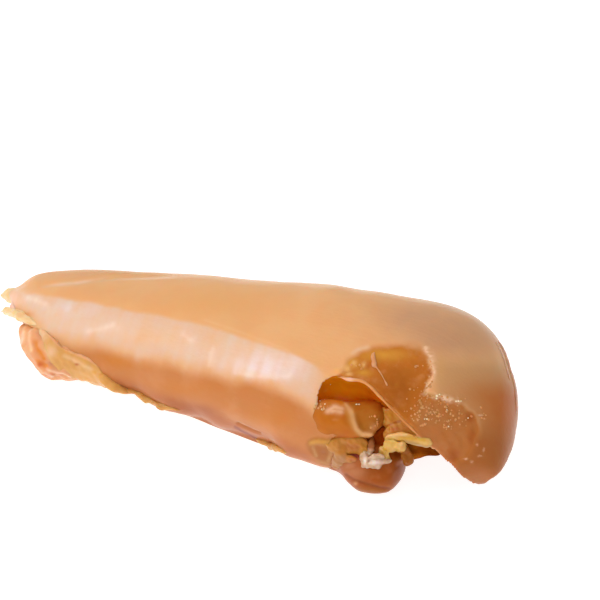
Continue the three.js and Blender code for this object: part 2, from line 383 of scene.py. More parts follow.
# %% [markdown]
# ## Spindles
#
# Fillet, fold, fat and threads all start as spindles: a smooth path through a few places, with a half width
# and a half height along it. A superellipse as cross section makes them a little fuller than an ellipse does.

# %% Spindles, for every other piece
SPINDLE_POWER = 2.2


def spindle_rings(path, width, height, ends, grow=0.0, sides=32, steps=64, floor=0.0):
    """Rings of a spindle: a superellipse of half `width` and half `height` carried along a smooth path, all
    times (1 - |2t - 1| ** ends) ** 0.5, so that both ends close; `grow` mm are added all over."""
    t = eased(steps)
    path = np.array(path, float)
    knots = np.linspace(0, 1, len(path))
    centre = np.stack([curve_value(knots, path[:, k], t) for k in range(3)], axis=-1)
    ahead = np.gradient(centre, t, axis=0)
    ahead /= np.linalg.norm(ahead, axis=1, keepdims=True)
    across = np.cross((0, 0, 1), ahead)
    across /= np.linalg.norm(across, axis=1, keepdims=True)
    up = np.cross(ahead, across)
    full = (1 - np.abs(2 * t - 1) ** ends) ** 0.5
    half_width = (curve_value(knots, width, t) + grow) * full
    half_height = (curve_value(knots, height, t) + grow) * full
    angle = 2 * np.pi * np.arange(sides) / sides
    side, rise = (squared(wave(angle), SPINDLE_POWER)[None, :, None] for wave in (np.cos, np.sin))
    sideways = side * (half_width[:, None] * across)[:, None, :]
    upward = rise * (half_height[:, None] * up)[:, None, :]
    rings = (centre + ahead * (2 * t - 1)[:, None] * grow)[:, None, :] + sideways + upward
    rings[..., 2] = np.maximum(rings[..., 2], floor)
    return rings


# %% [markdown]
# ## One skin round everything
#
# A cut leaves a hard edge and long thin faces. A voxel remesh lays even little squares over the whole form
# instead, and a few rounds of relaxing take out its steps. That rounds every edge by about a millimetre,
# which is just what soft wet meat does, and it leaves even points for the relief and the paint.

# %% Boolean cuts, remeshing and relaxing
def bake_modifiers(piece):
    """Swaps the piece's mesh for the one that its modifiers make, and removes them."""
    seen = piece.evaluated_get(bpy.context.evaluated_depsgraph_get())
    finished = bpy.data.meshes.new_from_object(seen)
    plain = piece.data
    piece.modifiers.clear()
    piece.data = finished
    bpy.data.meshes.remove(plain)


def cut(piece, cutter):
    """Takes the cutter's form out of the piece and removes the cutter."""
    knife = piece.modifiers.new("cut", "BOOLEAN")
    knife.operation = "DIFFERENCE"
    knife.solver = "MANIFOLD"
    knife.object = cutter
    bake_modifiers(piece)
    bpy.data.objects.remove(cutter)


def points_of(piece):
    """The piece's points in mm."""
    flat = np.empty(len(piece.data.vertices) * 3)
    piece.data.vertices.foreach_get("co", flat)
    return flat.reshape(-1, 3) / MM


def move_points(piece, points):
    """Puts the piece's points at `points`, in mm, none of them under the surface that it lies on."""
    points[:, 2] = np.maximum(points[:, 2], 0)
    piece.data.vertices.foreach_set("co", (points * MM).ravel())
    piece.data.update()


def facing_of(piece):
    """The direction in which the skin faces at each point."""
    flat = np.empty(len(piece.data.vertices) * 3)
    piece.data.vertices.foreach_get("normal", flat)
    return flat.reshape(-1, 3)


def in_view(piece):
    """The piece's points in mm, which way the skin faces at each one, and their pixel columns and rows."""
    points = points_of(piece)
    return points, facing_of(piece), *in_picture(points)


RELAX_SHARES = (0.5, -0.45)      # of the way to the middle of a point's neighbours, in each round


def relax(piece, rounds, where=1.0):
    """In each round every point moves half way to the middle of its neighbours, then a bit less the other
    way, which smooths the skin and keeps its size. `where`, from 0 to 1, limits that to some points."""
    flat = np.empty(len(piece.data.edges) * 2, np.int32)
    piece.data.edges.foreach_get("vertices", flat)
    ends = flat.reshape(-1, 2)
    one, other = np.concatenate([ends, ends[:, ::-1]]).T
    points = points_of(piece)
    count = np.bincount(one, minlength=len(points))[:, None]
    for share in RELAX_SHARES * rounds:
        total = np.stack([np.bincount(one, points[other, k], len(points)) for k in range(3)], axis=-1)
        points = points + share * where * (total / count - points)
    move_points(piece, points)


def one_skin(piece, voxel, rounds):
    """Lays even squares of `voxel` mm over the piece and relaxes them."""
    net = piece.modifiers.new("net", "REMESH")
    net.mode = "VOXEL"
    net.voxel_size = voxel * MM
    net.adaptivity = 0
    bake_modifiers(piece)
    relax(piece, rounds)
    piece.data.shade_smooth()
    piece.data.materials.clear()
    print(piece.name, len(piece.data.polygons), "squares of", voxel, "mm")


def tree_of(piece):
    """The piece's surface in the form that place_on searches."""
    bpy.context.view_layer.update()
    return BVHTree.FromObject(piece, bpy.context.evaluated_depsgraph_get())


NO_WALL = 99            # mm, stands for meat that has no other side
JUST_INSIDE = 0.05      # mm


def wall_of(piece):
    """How many mm of meat lie behind each point of the skin."""
    tree, points, facing = tree_of(piece), points_of(piece), facing_of(piece)
    starts = points - JUST_INSIDE * facing
    hits = [tree.ray_cast(Vector(start * MM), Vector(-way))[3] for start, way in zip(starts, facing)]
    return np.array([NO_WALL if far is None else far / MM for far in hits])


# %% [markdown]
# ## The inner fillet
#
# The inner fillet is a muscle of its own, a finger-thick spindle under the front side. The big muscle keeps a
# groove for it, cut with the same spindle a hair thinner, so that the two press on each other without a gap.

# %% Sizes of the inner fillet
INNER_FILLET = dict(
    path=np.array(((-75, -10, 8.8), (-62, -13.5, 8), (-34, -5, 8), (1, -2, 8.5), (38, -8, 8.5),
                   (57, -20.5, 8), (69, -28.5, 6.5))) + ORIGIN,
    width=(7, 10.5, 11, 12, 12, 12, 10),
    height=(8, 9, 9, 9.5, 10, 9.5, 8),
    ends=6,
)
PRESSED = -0.3          # mm, added to the fillet's sizes for its groove, which is a hair thinner
LOWERED = (0, 0, 7)     # mm, a second groove this much lower leaves no thin lip under the fillet

# %% Cut the muscle and give it its skin
cut(breast, new_piece("bowl_cutter", [skin_of(bowl_rings(sides=120, steps=50))]))
cut(breast, new_piece("mouth_cutter", [skin_of(mouth_rings(sides=96, steps=60))]))
low_fillet = INNER_FILLET | dict(path=INNER_FILLET["path"] - LOWERED)
for name, form, floor in (("groove_cutter", INNER_FILLET, -2), ("foot_cutter", low_fillet, -9)):
    cut(breast, new_piece(name, [skin_of(spindle_rings(**form, grow=PRESSED, floor=floor))]))
one_skin(breast, voxel=0.68, rounds=7)
below_skin = np.array([uncut_tree.find_nearest(Vector(point * MM))[3] for point in points_of(breast)]) / MM
print("the cuts reach", below_skin.max().round(1), "mm below the skin")

# %% [markdown]
# ## Relief and paint
#
# The relief is a set of pushes along the skin's own direction, each a smooth function of place. Where a push
# or a colour belongs to something that is seen in the picture, such as the edge of the pale band, its line is
# given in the picture's pixels and compared with where each point of the skin lies in that picture.

# %% Unevenness and lines on the skin
WAVES = 14


def ripple(points, size, seed):
    """A soft unevenness of about -1 to 1: the sum of sine waves in random directions, with lengths near
    `size` mm, over the root of their number."""
    draw = np.random.default_rng(seed)
    ways = draw.normal(size=(WAVES, 3))
    ways /= np.linalg.norm(ways, axis=1, keepdims=True)
    lengths = size * draw.uniform(0.7, 1.5, WAVES)
    shifts = draw.uniform(0, 2 * np.pi, WAVES)
    return np.sin(2 * np.pi * points @ (ways / lengths[:, None]).T + shifts).sum(axis=1) / np.sqrt(WAVES)


def far_from(columns, rows, line):
    """How far each place in the picture lies from a line through pixels, by the nearest of its stretches."""
    least = np.full(len(columns), np.inf)
    line = np.array(line, float)
    for start, end in zip(line[:-1], line[1:]):
        along = end - start
        t = np.clip(((columns - start[0]) * along[0] + (rows - start[1]) * along[1]) / (along @ along), 0, 1)
        least = np.minimum(least, np.hypot(columns - start[0] - t * along[0], rows - start[1] - t * along[1]))
    return least


def inside_of(columns, rows, outline):
    """How far each place in the picture lies inside an outline in pixels; negative outside it."""
    inside = np.zeros(len(columns), bool)
    outline = np.array(outline, float)
    for (x0, y0), (x1, y1) in zip(outline, np.roll(outline, -1, axis=0)):
        crosses = (rows < y0) != (rows < y1)
        inside ^= crosses & (columns < x0 + (rows - y0) * (x1 - x0) / (y1 - y0 + 1e-9))
    far = far_from(columns, rows, np.vstack([outline, outline[:1]]))
    return np.where(inside, far, -far)


def row_of(columns, line):
    """The row at which a line through pixels passes each column."""
    line = np.array(line, float)
    return np.interp(columns, line[:, 0], line[:, 1])


def near(columns, rows, line, width):
    """1 on a line through pixels, fading like a bell curve to 0 about twice `width` pixels away from it."""
    return np.exp(-(far_from(columns, rows, line) / width) ** 2)


def near_any(columns, rows, lines, width):
    """The same for several lines, the nearest one counting."""
    return np.max([near(columns, rows, line, width) for line in lines], axis=0)


def pool(columns, rows, column, row, wide, high):
    """1 at a pixel, fading like a bell curve over `wide` columns and `high` rows."""
    return np.exp(-((columns - column) / wide) ** 2 - ((rows - row) / high) ** 2)


def pools(columns, rows, spots):
    """The same for several spots, each (column, row, wide, high), the strongest one counting."""
    return np.max([pool(columns, rows, *spot) for spot in spots], axis=0)


def paint(piece, where=1.0, **masks):
    """Keeps each mask times `where`, a number from 0 to 1 for each point, as an attribute that the material
    reads."""
    for name, mask in masks.items():
        layer = piece.data.attributes.new(name, "FLOAT", "POINT")
        layer.data.foreach_set("value", np.clip(mask * where, 0, 1).astype(np.float32))


# %% Where things are on the big muscle, in the picture's pixels
BAND_TOP = ((8, 286), (26, 291), (69, 297), (95, 302), (117, 306), (141, 310), (169, 316), (200, 322),
            (230, 331), (260, 341), (291, 352), (314, 362), (330, 374))
BAND_FOOT = ((10, 303), (34, 318), (48, 333), (75, 341), (100, 345), (118, 352), (138, 357), (165, 360),
             (182, 366), (207, 371), (225, 376), (250, 378), (275, 386), (299, 398), (318, 411))
BAND_CORES = (((26, 299), (36, 300), (47, 304)), ((90, 331), (104, 330), (118, 326)),
              ((182, 334), (192, 340)), ((213, 348), (211, 356), (210, 368)),
              ((226, 369), (250, 371), (272, 373)))
BAND_GLINTS = (((25, 297), (35, 300), (46, 304)), ((89, 331), (101, 329), (113, 324.5)),
               ((184, 335), (190, 340)), ((213, 349), (211, 356), (209, 365)),
               ((236, 373), (256, 376), (273, 377.5), (290, 375.5)))
BAND_SEAM = ((205, 320), (232, 329), (262, 340), (289, 351))
BACK_CREASE = ((42, 286), (58, 284.5), (78, 283), (98, 279), (116, 276.5), (140, 276), (172, 276))
BARE_MEAT = ((337, 376), (343, 369), (348, 361), (352, 355), (360, 350), (372, 347), (390, 344.5), (408, 344),
             (419, 346), (427, 352), (430, 362), (431, 374), (428, 384), (426, 393), (437, 396), (452, 400.5),
             (465, 405.5), (473, 411), (478, 419), (479, 432), (476, 446), (471, 456), (462, 463), (452, 468),
             (440, 457), (430, 447), (416, 434), (400, 417), (384, 401), (368, 386), (352, 380))
FAT_PATCH = ((305, 444), (311, 438.5), (322, 436.5), (333, 439), (342, 443), (346, 450), (342, 459),
             (336, 468), (322, 466), (309, 455))
PATCH_CREAM = ((311, 443), (318, 441.5), (330, 442.5))
PATCH_PALE = (((313, 448), (316, 456)), ((329, 446), (331, 454), (328, 461)), ((316, 461), (328, 464)))
LOWER_STRIP = ((110, 378), (130, 384), (160, 394), (200, 407), (240, 422), (280, 440), (320, 458))
GAP_LINE = ((235, 427), (246, 433), (256, 438))
FRINGE_LINE = ((118, 386), (134, 390), (148, 398), (166, 406))
TORN_SMEAR = ((425, 348), (430, 357), (432.5, 365), (432.5, 372), (430, 380), (427, 387), (425, 394),
              (432, 396), (441, 397), (450, 400), (460, 402))
TORN_SPOTS = ((425, 350, 1.6, 2), (432, 366, 1.6, 2.4), (433.5, 372, 1.6, 2), (426, 390, 2, 2),
              (437, 397, 1.8, 2), (458, 401.5, 4, 1), (481, 415, 3, 1.2), (485, 419, 2, 1.2),
              (478, 445, 1.6, 2), (484, 450, 1.2, 3), (480, 456, 3, 1.2), (466, 459, 2.6, 1),
              (472, 462, 1.4, 1.4))      # column, row, half columns, half rows
FLESHY_SPOTS = ((338, 371, 6, 4), (347, 368, 5, 5), (354, 363, 4, 5), (364, 364, 3, 4), (349, 374, 5, 3))
SILVER_SHEEN = ((352, 353), (358, 349), (368, 347))
GRAINY_SPOTS = ((445, 410, 26, 18), (424, 396, 12, 22), (455, 425, 16, 14))
BARE_GLOW = ((352, 362, 12, 9), (364, 373, 12, 5), (384, 355, 34, 9))
BARE_RIM = ((470, 418, 7, 7), (472, 436, 6, 12), (454, 456, 9, 12), (432, 372, 4, 16))

# %% [markdown]
# ### Fitting the outline
#
# The loft gives the muscle's outline to about a millimetre and a half. The rest is a soft, uneven difference
# that only this breast has: its back stands a little higher in the middle, its neck end is a little slimmer,
# its tip is blunter and hangs over the fillet, and its lower edge draws in and out where it rests. Tables say
# how far, at columns or rows of the picture.

# %% How far the outline moves
TOP_MOVES = ((0, 0.3), (20, 0.2), (40, 1.2), (70, 0.3), (100, -0.2), (130, 0), (160, 0.6), (200, 1.0),
             (240, 0.8), (280, 1.4), (330, 2.0), (355, 1.4), (380, 1.5), (420, 0.8), (450, 0.3), (480, 0.1),
             (500, 0))                                                    # column, mm outwards
NECK_MOVES = ((335, 0.4), (350, -0.2), (370, -1.2), (385, -1.3), (400, -1.6), (430, -1.9), (450, -1.6),
              (465, -2.4), (472, -3.2), (480, -5.4))                      # row, mm outwards
FOOT_MOVES = ((100, 0.0), (107, -1.2), (115, -2.0), (125, -0.6), (135, 1.2), (145, 0.5), (165, -0.4),
              (175, 0.8), (195, 3.2), (215, 2.8), (230, 3.8), (250, 4.0), (265, 4.2), (275, 2.2), (285, 0.2),
              (300, 0), (320, -0.3), (335, 0.5), (345, 0.7), (440, -0.6), (455, 0.0), (465, 0.8), (475, 1.6),
              (485, 2.2), (495, 1.8), (505, 0.4), (518, -1.2))            # column, mm to +y
TIP_MOVES = ((278, 0.0), (286, 1.6), (292, 1.4), (300, 2.2), (308, 3.0), (320, 3.2),
             (330, 1.6))                                                  # row, mm to +x
TIP_LIFT = ((0, 2.6), (20, 2.6), (32, 2.4), (45, 1.2), (60, 0.3),
            (80, 0))                                                      # column, mm up
TIP_DROOP = ((38, 0), (48, 2.0), (58, 3.6), (70, 3.8), (82, 2.8), (94, 1.0),
             (102, 0))                                                    # column, mm down
TONGUE_SPOT = (482, 486, 18, 12)       # column, row, half columns, half rows
TONGUE_MOVE = (-0.8, 1.3, 0)           # mm, rounds the tongue
THIN_LIP = (0.8, 2.2)                  # mm of wall, from evened out to left alone
LIP_ROUNDS = 25


def moves(table, at):
    """A smooth curve through a table of (column or row, mm), read at the columns or rows `at`."""
    return curve_value(*zip(*table), at)


def shows(facing):
    """1 where the skin faces the camera, fading to 0 where it turns away."""
    return smooth(-0.05, 0.25, facing @ BACK)


# %% Lift and blunt the tip
points = points_of(breast)
column, row = in_picture(points)
points[:, 2] += (1 - smooth(9, 18, points[:, 2])) * moves(TIP_LIFT, column)
points[:, 0] += (1 - smooth(-89, -70, points[:, 0])) * moves(TIP_MOVES, row)
move_points(breast, points)
print("tip end at x =", points[:, 0].min().round(1), "mm")

# %% [markdown]
# ### Where the relief belongs
#
# Most values below are masks: they lie between 0 and 1 for every point of the skin and say how much of a push
# or a colour belongs there. `seen` keeps the picture's masks off the far side, and `outer` and `inner` tell
# the smooth skin from the meat that the cuts have bared.

# %% Masks for the relief
points, facing, column, row = in_view(breast)
seen = shows(facing)
edge_on = np.exp(-(facing @ BACK / 0.45) ** 2)
front_y = curve_value(SECTIONS["x"], SECTIONS["front_y"], points[:, 0]) + ORIGIN[1]
foot = (1 - smooth(3, 19, points[:, 2])) * (1 - smooth(2, 8, points[:, 1] - front_y))
outer = 1 - smooth(0.5, 1.3, below_skin)
inner = 1 - outer

below_top = row - row_of(column, BAND_TOP)
along_band = smooth(14, 60, column) * (1 - smooth(300, 325, column))
above_crease = smooth(-2, 4, row_of(column, BACK_CREASE) - row) * (1 - smooth(150, 180, column))
bare_edge = 2.2 + 4 * (1 - smooth(352, 372, row)) + 4 * smooth(425, 445, row)      # pixels
bare = smooth(-1, 1, (inside_of(column, row, BARE_MEAT) + ripple(points, 5, 1)) / bare_edge) * seen * outer
patch = smooth(-3, 3, inside_of(column, row, FAT_PATCH) + 1.5 * ripple(points, 4, 2)) * seen * outer
torn_spots = 0.9 * near(column, row, TORN_SMEAR, 4) * smooth(-1.0, 0.7, ripple(points, 1.7, 16))
torn_spots = np.maximum(torn_spots, pools(column, row, TORN_SPOTS)) * seen
fleshy = pools(column, row, FLESHY_SPOTS) * seen * outer
grainy = pools(column, row, GRAINY_SPOTS)
from_rim = smooth(1, 8, far_from(column, row, RIM_LINE))
print("bare meat on", int((bare > 0.5).sum()), "of", len(points), "points")

# %% [markdown]
# ### Relief
#
# Only skin that is seen edge-on is moved to fit the outline. Then come the swellings and hollows of the skin
# itself, a few tenths of a millimetre each: coarse and fine unevenness, the swollen band, the grain of the
# bare meat, the flecks that lie on it and the small gaps along the foot.

# %% Push the skin in and out
push = edge_on * smooth(0.1, 0.6, facing @ UP) * moves(TOP_MOVES, column)
push += edge_on * smooth(0.3, 0.8, facing @ RIGHT) * moves(NECK_MOVES, row)
push += 0.28 * ripple(points, 34, 3) + 0.07 * ripple(points, 12, 4)      # unevenness all over
push += 0.6 * np.exp(-(below_top / 14) ** 2) * along_band * seen
push += -0.5 * near(column, row, BACK_CREASE, 2.5) * seen + 0.3 * above_crease * seen
grain = -0.45 + 0.08 * ripple(points, 3.2, 5) + (0.04 + 0.05 * grainy) * ripple(points, 1.7, 6)
push += bare * from_rim * grain      # the bare meat lies deeper than the skin
push += 0.22 * torn_spots * (0.8 + 0.5 * ripple(points, 2.4, 7)) + 0.35 * fleshy
push += patch * (0.1 + 0.12 * ripple(points, 5, 8)) + 0.3 * near(column, row, PATCH_CREAM, 3) * seen * outer
push += -0.8 * near(column, row, GAP_LINE, 1.6) * seen - 0.35 * near(column, row, FRINGE_LINE, 2) * seen
push += foot * 0.25 * ripple(points * (1, 0.4, 0.4), 9, 9)      # long waves along the foot
push += 0.16 * inner * ripple(points, 7, 15)
push *= smooth(0.0, 1.5, points[:, 2]) * smooth(0.5, 3.0, wall_of(breast))      # thin edges stay as they are
points = points + push[:, None] * facing
print("relief from", push.min().round(2), "to", push.max().round(2), "mm")

# %% Draw the foot in, hang the side over the fillet and round the tongue
points[:, 1] += foot * moves(FOOT_MOVES, column)
droop = moves(TIP_DROOP, column) * smooth(0, 4, points[:, 2]) * (1 - smooth(9, 24, points[:, 2]))
points -= (droop * (1 - smooth(6, 16, points[:, 1] - front_y)))[:, None] * UP
points += pool(column, row, *TONGUE_SPOT)[:, None] * np.array(TONGUE_MOVE)
move_points(breast, points)
relax(breast, LIP_ROUNDS, where=(1 - smooth(*THIN_LIP, wall_of(breast)))[:, None])
print("the side hangs down by", droop.max().round(1), "mm at most")

# %% [markdown]
# ## Colour helpers
#
# Colours are noted the way a screen shows them, as hex values, and Blender wants them linear. One small
# function adds a node with its settings and links, so that a material reads as a list of layers.

# %% Colours and nodes
def linear(hex_colour):
    """An sRGB hex colour as linear red, green, blue and alpha."""
    shown = np.array([int(hex_colour[i:i + 2], 16) for i in (1, 3, 5)]) / 255
    light = np.where(shown <= 0.04045, shown / 12.92, ((shown + 0.055) / 1.055) ** 2.4)
    return (*light, 1.0)


def add_node(tree, kind, inputs=(), **settings):
    """Adds a shader node. `settings` are its own properties, and `inputs` fills its sockets, by name or
    number, with a value or with another node's output."""
    node = tree.nodes.new("ShaderNode" + kind)
    for name, value in settings.items():
        setattr(node, name, value)
    for socket, value in dict(inputs).items():
        if isinstance(value, bpy.types.NodeSocket):
            tree.links.new(value, node.inputs[socket])
        else:
            node.inputs[socket].default_value = value
    return node


FACTOR, COLOUR_A, COLOUR_B, MIXED_COLOUR = 0, 6, 7, 2   # sockets of a Mix node that mixes colours


# %% [markdown]
# ## Wet flesh
#
# Raw meat, fat and sinew are the same kind of thing to the eye: cloudy, wet tissue. Light goes in, wanders a
# millimetre or so, red light furthest, and comes out again, so the shader scatters below its surface. Over it
# lies a film of meat juice, which is a clear coat with the IOR of water. What differs is the colour, so one
# function builds the tissue and each material gives it a ground and a list of painted layers. The edge of a
# layer is broken up by noise, because nothing in meat ends in a clean line. Where a piece is wetter than
# elsewhere, a mask lowers the roughness of the flesh under the film.

# %% The tissue material
WATER_IOR = 1.33
FLESH_IOR = 1.40
CLOUDINESS = 0.75                  # share of the light that wanders inside the flesh
SCATTER = (1.0, 0.42, 0.22)        # how far red, green and blue light wander, as shares of the scatter length
STRANDS = dict(size=1.6, along=0.12, deep=0.6)      # mm across, how little they change along x, mm of bump
PORES = dict(size=1.1, deep=0.5)                    # mm


def tissue(name, ground, layers=(), blotch=4.0, scatter=1.0, roughness=0.36, wet=0.55, wet_roughness=0.16,
           fibre=0.0, pores=0.1, shine=0.3, wetter=None):
    """Wet tissue. `ground` is the pair of colours that the ground wanders between over `blotch` mm. A layer
    is (attribute, colour, ragged mm, raggedness). `scatter` is the scatter length in mm, `wet` the weight of
    the film, and `wetter` the attribute of the places where the flesh is half as rough."""
    material = bpy.data.materials.new(name)
    material.use_nodes = True
    tree = material.node_tree
    tree.nodes.clear()
    place = add_node(tree, "TexCoord").outputs["Object"]

    grains = {}      # one noise for each size in mm that the ground, the layers and the pores ask for
    for size in sorted({blotch, PORES["size"]} | {ragged for _, _, ragged, _ in layers}):
        noise = add_node(tree, "TexNoise", {"Vector": place, "Scale": 1 / (size * MM), "Detail": 3.0})
        grains[size] = noise.outputs[0]
    soft = add_node(tree, "MapRange", {"Value": grains[blotch], "From Min": 0.35, "From Max": 0.65},
                    interpolation_type="SMOOTHSTEP")
    colour = add_node(tree, "Mix", {FACTOR: soft.outputs[0], COLOUR_A: linear(ground[0]),
                                    COLOUR_B: linear(ground[1])}, data_type="RGBA").outputs[MIXED_COLOUR]
    for attribute, hex_colour, ragged, raggedness in layers:
        mask = add_node(tree, "Attribute", attribute_name=attribute).outputs["Fac"]
        torn = add_node(tree, "MapRange", {"Value": grains[ragged], "From Min": 0.3, "From Max": 0.7,
                                           "To Min": -raggedness, "To Max": raggedness})
        swing = add_node(tree, "Math", {0: mask, 1: torn.outputs[0]}, operation="ADD")
        shape = add_node(tree, "Math", {0: mask, 1: swing.outputs[0]}, operation="MULTIPLY", use_clamp=True)
        colour = add_node(tree, "Mix", {FACTOR: shape.outputs[0], COLOUR_A: colour,
                                        COLOUR_B: linear(hex_colour)}, data_type="RGBA").outputs[MIXED_COLOUR]
    stretched = add_node(tree, "Mapping", {"Vector": place, "Scale": (STRANDS["along"], 1, 1)})
    streaky = add_node(tree, "TexNoise", {"Vector": stretched.outputs[0], "Scale": 1 / (STRANDS["size"] * MM),
                                          "Detail": 4.0})
    strands = add_node(tree, "Bump", {"Strength": fibre, "Distance": STRANDS["deep"] * MM,
                                      "Height": streaky.outputs[0]})
    surface = add_node(tree, "Bump", {"Strength": pores, "Distance": PORES["deep"] * MM,
                                      "Height": grains[PORES["size"]], "Normal": strands.outputs[0]})
    shader = add_node(tree, "BsdfPrincipled", {
        "Base Color": colour, "Roughness": roughness, "IOR": FLESH_IOR, "Specular IOR Level": shine,
        "Subsurface Weight": CLOUDINESS, "Subsurface Radius": SCATTER, "Subsurface Scale": scatter * MM,
        "Coat Weight": wet, "Coat Roughness": wet_roughness, "Coat IOR": WATER_IOR,
        "Normal": surface.outputs[0]})
    if wetter:
        mask = add_node(tree, "Attribute", attribute_name=wetter).outputs["Fac"]
        dry_to_wet = add_node(tree, "MapRange", {"Value": mask, "To Min": roughness, "To Max": roughness / 2})
        tree.links.new(dry_to_wet.outputs[0], shader.inputs["Roughness"])
    add_node(tree, "OutputMaterial", {"Surface": shader.outputs[0]})
    return material


# %% [markdown]
# ## Painting the big muscle
#
# The muscle is peach-coloured on top. Along its front shoulder lies a pale band, the silver skin, with soft
# streaks across it. Its pale colour is partly the skin's own and partly a painted highlight, and its cores,
# glints and shimmer are painted highlights. Below that it turns orange and then pinkish brown, partly its own
# colour and partly painted shade where the side turns down and under. The neck end is greyish tan and turns
# brown towards its edge, which is painted shade on the side away from the light. Round the pocket the skin is
# torn off, and the bare meat is amber. Inside the pocket the meat is painted a bright orange that stands in
# for light shining through its thin roof, and painted shade darkens its back. Each colour is a mask over the
# points of the skin, and the material mixes them one over the other. The relief has moved the points, so we
# ask once more where the picture shows them.

# %% Paint the top and the flank below the band
points, facing, column, row = in_view(breast)
seen = shows(facing)
below_top = row - row_of(column, BAND_TOP)
above_foot = row_of(column, BAND_FOOT) - row

before_pocket = 1 - smooth(308, 330, column) * (1 - smooth(400, 440, row))
# under: painted shade, a darker orange below the pale band where the side turns down away from the light
under = smooth(-13, 13, -above_foot) * smooth(40, 85, column) * before_pocket
under *= 1 - smooth(345, 365, column)
# orange: a deeper, more saturated painted shade within that band
orange = pool(column, row, 125, 359, 36, 12) + 0.8 * pool(column, row, 275, 418, 34, 18)
orange += 0.7 * pool(column, row, 185, 388, 50, 10)
# strip: partly the lower edge's own pinkish brown and partly painted shade where it turns under towards the
# board
strip = smooth(-13, 6, row - row_of(column, LOWER_STRIP)) * smooth(85, 125, column)
strip *= 1 - smooth(300, 340, column)
ruddy = pool(column, row, 205, 406, 40, 12) + 0.5 * pool(column, row, 128, 386, 26, 8)
crease_ends = smooth(30, 60, column) * (1 - smooth(78, 130, column))
paint(breast, seen, top_orange=pool(column, row, 215, 300, 95, 26) * (below_top < 4),
      # tip_orange: painted shade, an orange pool on the muscle just above the strip of fat at the tip
      tip_orange=pool(column, row, 27, 314, 11, 4.5), tip_pale=pool(column, row, 16, 298, 14, 12),
      roll=above_crease * smooth(20, 40, column),
      # a painted highlight: a soft pale line along the back crease
      crease_pale=near(column, row, BACK_CREASE, 2.4) * crease_ends,
      under=under, orange=orange * under, strip=strip, ruddy=ruddy * strip,
      # gap and fringe: painted shade, dark lines in the small grooves along the foot
      gap=near(column, row, GAP_LINE, 2.0), fringe=near(column, row, FRINGE_LINE, 2.2))

# %% Paint the silver skin and the highlights painted on it
band_ends = smooth(8, 30, column) * (1 - smooth(306, 340, column))
streaks = ripple(points * (1, 0.12, 0.12), 3.2, 13) + 0.7 * ripple(points * (1, 0.3, 0.3), 8, 14)
# band: the silver skin's own pale colour together with a painted highlight along the front shoulder
band = smooth(-2, 5, below_top + 0.8 * ripple(points, 9, 10))
band *= smooth(-14, 12, above_foot + 0.9 * ripple(points, 14, 11) + 0.5 * streaks)
band *= band_ends * (0.86 + 0.05 * streaks) * (1 - 0.25 * pool(column, row, 150, 337, 34, 12))
# core, glint and shimmer: painted highlights, pale cores, bright streaks and a lilac sheen on the band
core = near_any(column, row, BAND_CORES, 6) * (0.45 + 0.06 * streaks)
core *= 1 - 0.4 * pool(column, row, 100, 330, 20, 10)
glint = 0.34 * near_any(column, row, BAND_GLINTS, 6) + 0.26 * near_any(column, row, BAND_GLINTS, 2.8)
shimmer = pool(column, row, 268, 367, 50, 18) + 0.6 * pool(column, row, 75, 308, 30, 10)
shimmer = np.minimum(shimmer, 1) * (0.9 + 0.05 * streaks)
paint(breast, seen, band=band, shimmer=shimmer * band, core=core * band,
      glint=glint * (0.85 + 0.08 * streaks) * band_ends, band_seam=0.45 * near(column, row, BAND_SEAM, 1.8))

# %% Paint the neck end
round_end = smooth(-0.95, 0.1, facing @ BACK)      # fades out on the far side of the neck end
turned = np.exp(-(facing @ BACK / 0.4) ** 2) * smooth(430, 500, column) * smooth(340, 400, row)
paint(breast, round_end, grey=pool(column, row, 455, 335, 75, 36) + 0.5 * pool(column, row, 400, 312, 50, 18),
      # browned: painted shade, browner where the skin faces right, away from the lights
      browned=smooth(-0.1, 0.75, facing @ RIGHT) * smooth(350, 400, row),
      # tongue: the neck's lower end, browner in tone and darkened further with painted shade
      tongue=smooth(392, 446, row) * smooth(420, 450, column) * (1 - 0.3 * smooth(500, 520, column)),
      low_neck=smooth(345, 372, row) * smooth(424, 442, column))
# edge_dark: painted shade where the neck's skin turns edge-on
paint(breast, warm=0.7 * pool(column, row, 441, 368, 5, 26) * seen, edge_dark=0.6 * turned)

# %% Paint the bare meat, the patch of fat and the pocket
# cavity: the pocket's inside, painted a bright orange that stands in for light shining through its thin roof
# film: the torn pale film on the bare meat's right edge, partly its own colour and partly painted highlight
paint(breast, bare=bare, fleshy=fleshy, film=torn_spots * outer, patch=patch, cavity=inner,
      # sheen: a painted highlight on the silver skin over the pocket
      sheen=near(column, row, SILVER_SHEEN, 3) * seen, glossy=np.maximum(bare, inner))
paint(breast, bare, bare_glow=pools(column, row, BARE_GLOW), bare_rim=pools(column, row, BARE_RIM),
      bare_deep=pool(column, row, 398, 390, 26, 28),
      bare_right=smooth(404, 424, column) * smooth(392, 408, row))
paint(breast, patch, patch_cream=near(column, row, PATCH_CREAM, 4),
      patch_pale=near_any(column, row, PATCH_PALE, 2.4), patch_spot=pool(column, row, 323, 452, 4, 3))
# deep and shade: painted shade, darker towards the back, the right and the foot of the pocket
paint(breast, inner, deep=smooth(338, 380, column + 0.6 * (row - 385)), shade=smooth(430, 446, row))
print(len(breast.data.attributes), "attributes on the big muscle")
